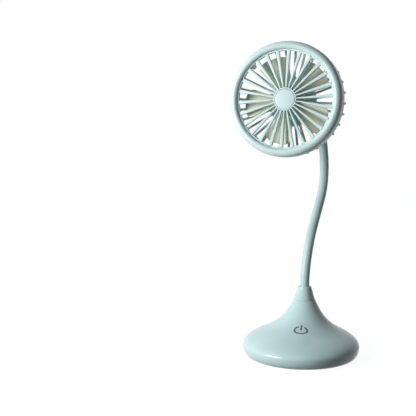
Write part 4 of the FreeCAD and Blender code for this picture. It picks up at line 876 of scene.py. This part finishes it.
band = turned(
    arc((BAND_BACK_R, BAND_BACK), (BAND_R, BAND_SHOULDER), BAND_BOW)
    + [(BAND_LIP_R, BAND_FRONT), (BAND_LIP_R - HEAD_WALL, BAND_FRONT)]
    + arc(
        (BAND_R - HEAD_WALL, BAND_SHOULDER),
        (BAND_BACK_R - HEAD_WALL, BAND_BACK),
        HEAD_WALL - BAND_BOW,
    ),
    180,
)
soften(band, 0.3, 2)
rib = plate(
    arc((RIB_START_R, RIB_BACK), RIB_CORNER, RIB_BOW, 14)
    + arc(RIB_CORNER, RIB_BULGE, 5.5)[1:]
    + [(56.0, POST_BACK), (54.9, POST_BACK)]
    + arc((54.9, -24.0), RIB_CORNER_INSIDE, -4.5, 6)
    + arc(RIB_CORNER_INSIDE, (RIB_START_R, FLANGE_FRONT), RIB_DEPTH - RIB_BOW, 14)[1:],
    RIB_WIDTH,
)
soften(rib, 0.45, 3, keep=lambda edge: abs(edge.verts[0].co.y - edge.verts[1].co.y) < 1e-6)
boss = turned(
    [
        (MOTOR_HOLE_R, MOTOR_CUP_FLOOR),
        (MOTOR_CUP_BORE_R, MOTOR_CUP_FLOOR),
        (MOTOR_CUP_BORE_R, FLANGE_BACK),
        (FLANGE_R, FLANGE_BACK),
        (FLANGE_R, FLANGE_FRONT),
        (MOTOR_CUP_R, FLANGE_FRONT),
        (MOTOR_CUP_R, MOTOR_CUP_FRONT),
        (MOTOR_HOLE_R, MOTOR_CUP_FRONT),
    ],
    96,
)
soften(boss, 0.4, 3)
housing = join_to(join_to(band, ring_of(rib, RIB_COUNT)), boss)
turned_by = POST_PHASE - RIB_PHASE
join_to(
    housing,
    posts(HOUSING_POST_R, POST_BACK, HOUSING_POST_FRONT, POST_RING_R, turned_by, POST_COUNT),
)
turned_by = CAP_PHASE - RIB_PHASE
join_to(
    housing,
    posts(CAP_POST_R, FLANGE_FRONT, CAP_POST_FRONT, CAP_RING_R, turned_by, CAP_POST_COUNT),
)
rear_housing = piece(in_head(housing, RIB_PHASE), "mint_rear_housing", [HEAD_MINT])
mount(rear_housing, "head", "head_shell", "rear_housing")

# Rear cap: a turned looking moulding screwed over the motor's cup, with a short nozzle that the
# neck's sleeve ends in.

CAP_R = 23.0
CAP_EDGE = 1.0
CAP_BACK = -34.5
CAP_HOLE_R = 0.95
CAP_HOLE_LENGTH = 4.0
NOZZLE_R = 6.2
NOZZLE_FOOT_R = 7.4
NOZZLE_STEP = -36.5
NOZZLE_BACK = -43.0

rear_cap = turned(
    arc((CAP_R - CAP_EDGE, CAP_BACK), (CAP_R, CAP_BACK + CAP_EDGE), CAP_EDGE, 5)
    + [
        (CAP_R, FLANGE_BACK),
        (NECK_HOLE_R, FLANGE_BACK),
        (NECK_HOLE_R, NOZZLE_STEP),
        (SLEEVE_BORE_R, NOZZLE_STEP),
        (SLEEVE_BORE_R, NOZZLE_BACK),
        (NOZZLE_R, NOZZLE_BACK),
        (NOZZLE_FOOT_R, CAP_BACK),
    ],
    96,
)
soften(rear_cap, 0.35, 3)
cap = piece(in_head(rear_cap), "mint_rear_cap", [HEAD_MINT])
for number in range(CAP_POST_COUNT):
    hole = upright_rod(CAP_HOLE_R, CAP_HOLE_LENGTH, 24)
    place = on_ring(CAP_RING_R, CAP_PHASE + 360 / CAP_POST_COUNT * number, CAP_BACK - 1.5)
    bmesh.ops.transform(hole, matrix=HEAD @ Matrix.Translation(place), verts=hole.verts)
    cut_out(cap, hole)
cap.data.shade_smooth()
cap.data.set_sharp_from_angle(angle=math.radians(32))
mount(cap, "head", "head_shell", "rear_cap")

# Head screws: zinc plated steel with low round heads and a pressed cross. Four hold the grille to
# the housing from behind, three hold the rear cap over the motor.


SCREW_FLAT = 0.45
SCREW_CROWN = 0.62
SCREW_BOW = 0.8
CROSS_REACH = 0.62
CROSS_WIDTH = 0.16
CROSS_DEPTH = 0.6


def cross_screws(name, node, shank_r, head_r, head, seat, tip, ring_r, phase, count):
    """Screws on a ring, heads to the back: seat and tip are heights on the head's axis."""
    back = seat - head
    flat_r = head_r * SCREW_FLAT
    shape = turned(
        [(0, back)]
        + arc((flat_r, back), (head_r, back + head * SCREW_CROWN), -head_r * SCREW_BOW, 5)
        + [(head_r, seat), (shank_r, seat), (shank_r, tip - 0.5), (shank_r - 0.4, tip), (0, tip)],
        32,
        closed=False,
    )
    screw = piece(shape, name, [ZINC])
    for long, wide in ((CROSS_REACH, CROSS_WIDTH), (CROSS_WIDTH, CROSS_REACH)):
        corner = (long * head_r, wide * head_r, back + head * CROSS_DEPTH)
        cut_out(screw, rounded_block((-corner[0], -corner[1], back - 1), corner, 0.06, 2))
    form = bmesh.new()
    form.from_mesh(screw.data)
    bmesh.ops.translate(form, vec=on_ring(ring_r, phase, 0), verts=form.verts)
    in_head(ring_of(form, count)).to_mesh(screw.data)
    form.free()
    screw.data.shade_smooth()
    screw.data.set_sharp_from_angle(angle=math.radians(32))
    mount(screw, "head", "screws", node)


cross_screws(
    "zinc_grille_screws",
    "grille_screws",
    shank_r=1.0,
    head_r=1.9,
    head=1.4,
    seat=POST_BACK,
    tip=-5.0,
    ring_r=POST_RING_R,
    phase=POST_PHASE,
    count=POST_COUNT,
)
cross_screws(
    "zinc_cap_screws",
    "cap_screws",
    shank_r=0.9,
    head_r=1.7,
    head=1.1,
    seat=CAP_BACK,
    tip=-27.5,
    ring_r=CAP_RING_R,
    phase=CAP_PHASE,
    count=CAP_POST_COUNT,
)

# Fan rotor: a cup pushed on the motor's shaft with five wide pitched blades, moulded in one in a
# warm grey plastic with a satin face.

BLADE_GREY = moulded("blade_grey", shade(206, 209, 190), 0.42, cloud=0.04)
BLADE_PHASE = 41.5
BLADE_COUNT = 5
BLADE_ROOT_R = 12.0
BLADE_TIP_R = 45.0
BLADE_THICKNESS = 1.2
ROOT_PITCH = 36.0
PITCH_EASE = 16.0
ROOT_WIDTH = 9.0
WIDENING = 27.0
TIP_ROUND_FROM = 0.7
TIP_ROUND = 0.93
ROOT_DEPTH = 10.6
TIP_LEAN = 2.9
ROTOR_WALL = 1.4
ROTOR_CUP_R = 12.8
ROTOR_CUP_EDGE = 1.0
ROTOR_CUP_FRONT = -5.9
ROTOR_CUP_BACK = -14.2
SHAFT_BORE_R = 1.0
SHAFT_BORE_END = -6.8
SHAFT_HUB_R = 2.6
SHAFT_HUB_BACK = -12.5


def blade_pitch(share):
    """Pitch of a blade at a share of the way out."""
    return math.radians(ROOT_PITCH - PITCH_EASE * share)


def blade():
    """One blade along +x: a thin plate that widens outwards while its pitch eases."""
    form = bmesh.new()
    bmesh.ops.create_grid(form, x_segments=36, y_segments=12, size=1)
    for vert in form.verts:
        share = (vert.co.x + 1) / 2
        across = vert.co.y
        past = max(0.0, (share - TIP_ROUND_FROM) / (1 - TIP_ROUND_FROM)) * TIP_ROUND
        rounding = math.sqrt(1 - past**2)
        pitch = blade_pitch(share)
        half = rounding * (ROOT_WIDTH + WIDENING * share) / math.cos(pitch) / 2
        reach = BLADE_ROOT_R + share * (BLADE_TIP_R - BLADE_ROOT_R)
        rise = across * half * math.sin(pitch) - ROOT_DEPTH - TIP_LEAN * share
        vert.co = Vector((reach, across * half * math.cos(pitch), rise)) * MM
    bmesh.ops.recalc_face_normals(form, faces=form.faces)
    made = bmesh.ops.extrude_face_region(form, geom=form.faces[:])
    front = {item for item in made["geom"] if isinstance(item, bmesh.types.BMVert)}
    for vert in form.verts:
        share = (vert.co.x / MM - BLADE_ROOT_R) / (BLADE_TIP_R - BLADE_ROOT_R)
        pitch = blade_pitch(share)
        half = BLADE_THICKNESS / 2 if vert in front else -BLADE_THICKNESS / 2
        vert.co += Vector((0, -math.sin(pitch), math.cos(pitch))) * half * MM
    bmesh.ops.recalc_face_normals(form, faces=form.faces)
    return soften(form, 0.35, 3, sharper_than=60)


cup = turned(
    [(0, ROTOR_CUP_FRONT)]
    + arc(
        (ROTOR_CUP_R - ROTOR_CUP_EDGE, ROTOR_CUP_FRONT),
        (ROTOR_CUP_R, ROTOR_CUP_FRONT - ROTOR_CUP_EDGE),
        -ROTOR_CUP_EDGE,
        4,
    )
    + [
        (ROTOR_CUP_R, ROTOR_CUP_BACK),
        (ROTOR_CUP_R - ROTOR_WALL, ROTOR_CUP_BACK),
        (ROTOR_CUP_R - ROTOR_WALL, ROTOR_CUP_FRONT - ROTOR_WALL),
        (SHAFT_HUB_R, ROTOR_CUP_FRONT - ROTOR_WALL),
        (SHAFT_HUB_R, SHAFT_HUB_BACK),
        (SHAFT_BORE_R, SHAFT_HUB_BACK),
        (SHAFT_BORE_R, SHAFT_BORE_END),
        (0, SHAFT_BORE_END),
    ],
    96,
    closed=False,
)
rotor = piece(
    in_head(join_to(cup, ring_of(blade(), BLADE_COUNT)), BLADE_PHASE), "grey_fan_rotor", [BLADE_GREY]
)
mount(rotor, "rotor", "blades", "fan_rotor")

# Front grille: one mint moulding of the round rim, the narrow lip inside it, twenty six straight
# spokes that widen outwards, and the cup in the middle that takes the cap.

SPOKE_PHASE = 4.66
SPOKE_COUNT = 26
SPOKE_FRONT = -0.6
SPOKE_BACK = -4.5
SPOKE_START_R = 10.8
SPOKE_END_R = 49.55
SPOKE_START_WIDTH = 1.1
SPOKE_WIDENING = 2.4
RIM_SHOULDER = -3.2
RIM_CREST = (53.2, 3.0)
LIP_R = 48.5
LIP_OUTER_R = 50.6
SPIGOT_R = 56.2
SPIGOT_INNER_R = 55.0
SPIGOT_BACK = -10.5
HUB_R = 11.6
HUB_FRONT = -0.3
CAP_SEAT_R = 10.35
CAP_SEAT = -3.1
GRILLE_POST_R = 2.4
GRILLE_POST_BACK = -10.6
GRILLE_POST_FRONT = -1.0

rim = turned(
    [(BAND_LIP_R, BAND_FRONT)]
    + arc((BAND_LIP_R, RIM_SHOULDER), RIM_CREST, 5.8, 14)
    + arc(RIM_CREST, (50.0, SPOKE_FRONT), 3.4, 10)[1:]
    + [(LIP_R, SPOKE_FRONT), (LIP_R, SPOKE_BACK), (LIP_OUTER_R, SPOKE_BACK), (LIP_OUTER_R, -2.6)]
    + arc((53.74, 0.9), (BAND_LIP_R - HEAD_WALL, RIM_SHOULDER), -4.6, 8)
    + [
        (BAND_LIP_R - HEAD_WALL, -5.0),
        (SPIGOT_INNER_R, -6.8),
        (SPIGOT_INNER_R, SPIGOT_BACK),
        (SPIGOT_R, SPIGOT_BACK),
        (SPIGOT_R, BAND_FRONT),
    ],
    208,
)
soften(rim, 0.3, 3, sharper_than=30)
spoke = plate(
    [
        (SPOKE_START_R, SPOKE_BACK),
        (SPOKE_END_R, SPOKE_BACK),
        (SPOKE_END_R, SPOKE_FRONT),
        (SPOKE_START_R, SPOKE_FRONT),
    ],
    1.0,
)
for vert in spoke.verts:
    share = (vert.co.x / MM - SPOKE_START_R) / (SPOKE_END_R - SPOKE_START_R)
    vert.co.y *= SPOKE_START_WIDTH + SPOKE_WIDENING * share
soften(spoke, 0.32, 3, keep=lambda edge: abs(edge.verts[0].co.x - edge.verts[1].co.x) > 1 * MM)
hub = turned(
    [
        (0, SPOKE_BACK),
        (HUB_R, SPOKE_BACK),
        (HUB_R, HUB_FRONT),
        (CAP_SEAT_R, HUB_FRONT),
        (CAP_SEAT_R, CAP_SEAT),
        (0, CAP_SEAT),
    ],
    96,
    closed=False,
)
soften(hub, 0.3, 3)
grille = join_to(join_to(rim, ring_of(spoke, SPOKE_COUNT)), hub)
spoke_turn = Matrix.Rotation(math.radians(SPOKE_PHASE), 4, "Z")
bmesh.ops.transform(grille, matrix=spoke_turn, verts=grille.verts)
join_to(
    grille,
    posts(GRILLE_POST_R, GRILLE_POST_BACK, GRILLE_POST_FRONT, POST_RING_R, POST_PHASE, POST_COUNT),
)
mount(piece(in_head(grille), "mint_front_grille", [HEAD_MINT]), "head", "head_shell", "front_grille")

# Hub cap: a plain moulded disc with a round edge, pressed into the grille's middle so that a fine
# groove is left around it.

HUB_CAP_R = 10.2
HUB_CAP_EDGE = 0.8
HUB_CAP_FRONT = -0.1

disc = turned(
    [(0, CAP_SEAT), (HUB_CAP_R, CAP_SEAT)]
    + arc(
        (HUB_CAP_R, HUB_CAP_FRONT - HUB_CAP_EDGE),
        (HUB_CAP_R - HUB_CAP_EDGE, HUB_CAP_FRONT),
        HUB_CAP_EDGE,
        6,
    )
    + [(0, HUB_CAP_FRONT)],
    96,
    closed=False,
)
mount(piece(in_head(disc), "mint_hub_cap", [HEAD_MINT]), "head", "head_shell", "hub_cap")

# Studio: the fan stands on a wide matt table before a white backdrop. One square lamp lights it
# from the front left, soft room light comes mostly from behind, and the camera stands where the
# photograph was taken from.

TABLE_HALF_WIDTH = 4.0
TABLE_GREY = (0.16, 0.16, 0.16, 1)
TABLE_GLOW = 0.93
PURE_WHITE = (1, 1, 1, 1)
ROOM_TINT = (0.9, 0.96, 1.0, 1)
ROOM_FROM = (-0.42, 0.75, -0.51)
ROOM_DIM = 0.05
ROOM_BRIGHT = 2.1
AIM = Vector((0, 0.01, 0.15))
KEY_PLACE = (-0.50, -0.50, 0.34)
KEY_SIZE = 0.34
KEY_POWER = 6.2
CAMERA_PLACE = (0.1727, -0.8914, 0.2793)
CAMERA_TILT = 82.0
CAMERA_TURN = 17.03
CAMERA_LENS = 77.885
CAMERA_SENSOR = 36.0

white = bpy.data.materials.new("white_table")
white.use_nodes = True
nodes, links = white.node_tree.nodes, white.node_tree.links
ray = nodes.new("ShaderNodeLightPath")
table_colour = nodes["Principled BSDF"]
table_colour.inputs["Base Color"].default_value = TABLE_GREY
table_colour.inputs["Roughness"].default_value = 0.9
table_colour.inputs["Specular IOR Level"].default_value = 0.1
glow = nodes.new("ShaderNodeEmission")
glow.inputs["Color"].default_value = PURE_WHITE
either = nodes.new("ShaderNodeMath")
either.operation = "MAXIMUM"
links.new(ray.outputs["Is Camera Ray"], either.inputs[0])
links.new(ray.outputs["Is Glossy Ray"], either.inputs[1])
glow_strength = nodes.new("ShaderNodeMath")
glow_strength.operation = "MULTIPLY"
glow_strength.inputs[1].default_value = TABLE_GLOW
links.new(either.outputs[0], glow_strength.inputs[0])
links.new(glow_strength.outputs[0], glow.inputs["Strength"])
added = nodes.new("ShaderNodeAddShader")
links.new(table_colour.outputs["BSDF"], added.inputs[0])
links.new(glow.outputs["Emission"], added.inputs[1])
links.new(added.outputs["Shader"], nodes["Material Output"].inputs["Surface"])

table_form = bmesh.new()
bmesh.ops.create_grid(table_form, x_segments=1, y_segments=1, size=TABLE_HALF_WIDTH)
table = piece(table_form, "table", [white])

world = bpy.data.worlds.new("studio")
bpy.context.scene.world = world
world.use_nodes = True
nodes, links = world.node_tree.nodes, world.node_tree.links
ray = nodes.new("ShaderNodeLightPath")
first = nodes.new("ShaderNodeMath")
first.operation = "MAXIMUM"
links.new(ray.outputs["Is Camera Ray"], first.inputs[0])
links.new(ray.outputs["Is Glossy Ray"], first.inputs[1])
second = nodes.new("ShaderNodeMath")
second.operation = "MAXIMUM"
links.new(first.outputs[0], second.inputs[0])
links.new(ray.outputs["Is Transmission Ray"], second.inputs[1])
direction = nodes.new("ShaderNodeTexCoord")
behind = nodes.new("ShaderNodeVectorMath")
behind.operation = "DOT_PRODUCT"
behind.inputs[1].default_value = ROOM_FROM
links.new(direction.outputs["Generated"], behind.inputs[0])
rise = nodes.new("ShaderNodeMapRange")
rise.inputs["To Min"].default_value = ROOM_DIM
rise.inputs["To Max"].default_value = ROOM_BRIGHT
links.new(behind.outputs["Value"], rise.inputs["Value"])
room = nodes.new("ShaderNodeBackground")
room.inputs["Color"].default_value = ROOM_TINT
links.new(rise.outputs["Result"], room.inputs["Strength"])
backdrop = nodes.new("ShaderNodeBackground")
backdrop.inputs["Color"].default_value = PURE_WHITE
backdrop.inputs["Strength"].default_value = 1.0
chosen = nodes.new("ShaderNodeMixShader")
links.new(second.outputs[0], chosen.inputs["Fac"])
links.new(room.outputs["Background"], chosen.inputs[1])
links.new(backdrop.outputs["Background"], chosen.inputs[2])
links.new(chosen.outputs["Shader"], nodes["World Output"].inputs["Surface"])

key = bpy.data.lights.new("key", "AREA")
key.shape = "SQUARE"
key.size = KEY_SIZE
key.energy = KEY_POWER
lamp = bpy.data.objects.new("key", key)
lamp.location = KEY_PLACE
lamp.rotation_euler = (AIM - Vector(KEY_PLACE)).to_track_quat("-Z", "Y").to_euler()
bpy.context.scene.collection.objects.link(lamp)

camera = bpy.data.cameras.new("camera")
camera.lens = CAMERA_LENS
camera.sensor_width = CAMERA_SENSOR
view = bpy.data.objects.new("camera", camera)
view.location = CAMERA_PLACE
view.rotation_euler = (math.radians(CAMERA_TILT), 0, math.radians(CAMERA_TURN))
bpy.context.scene.collection.objects.link(view)
bpy.context.scene.camera = view
bpy.context.scene.view_settings.view_transform = "Standard"
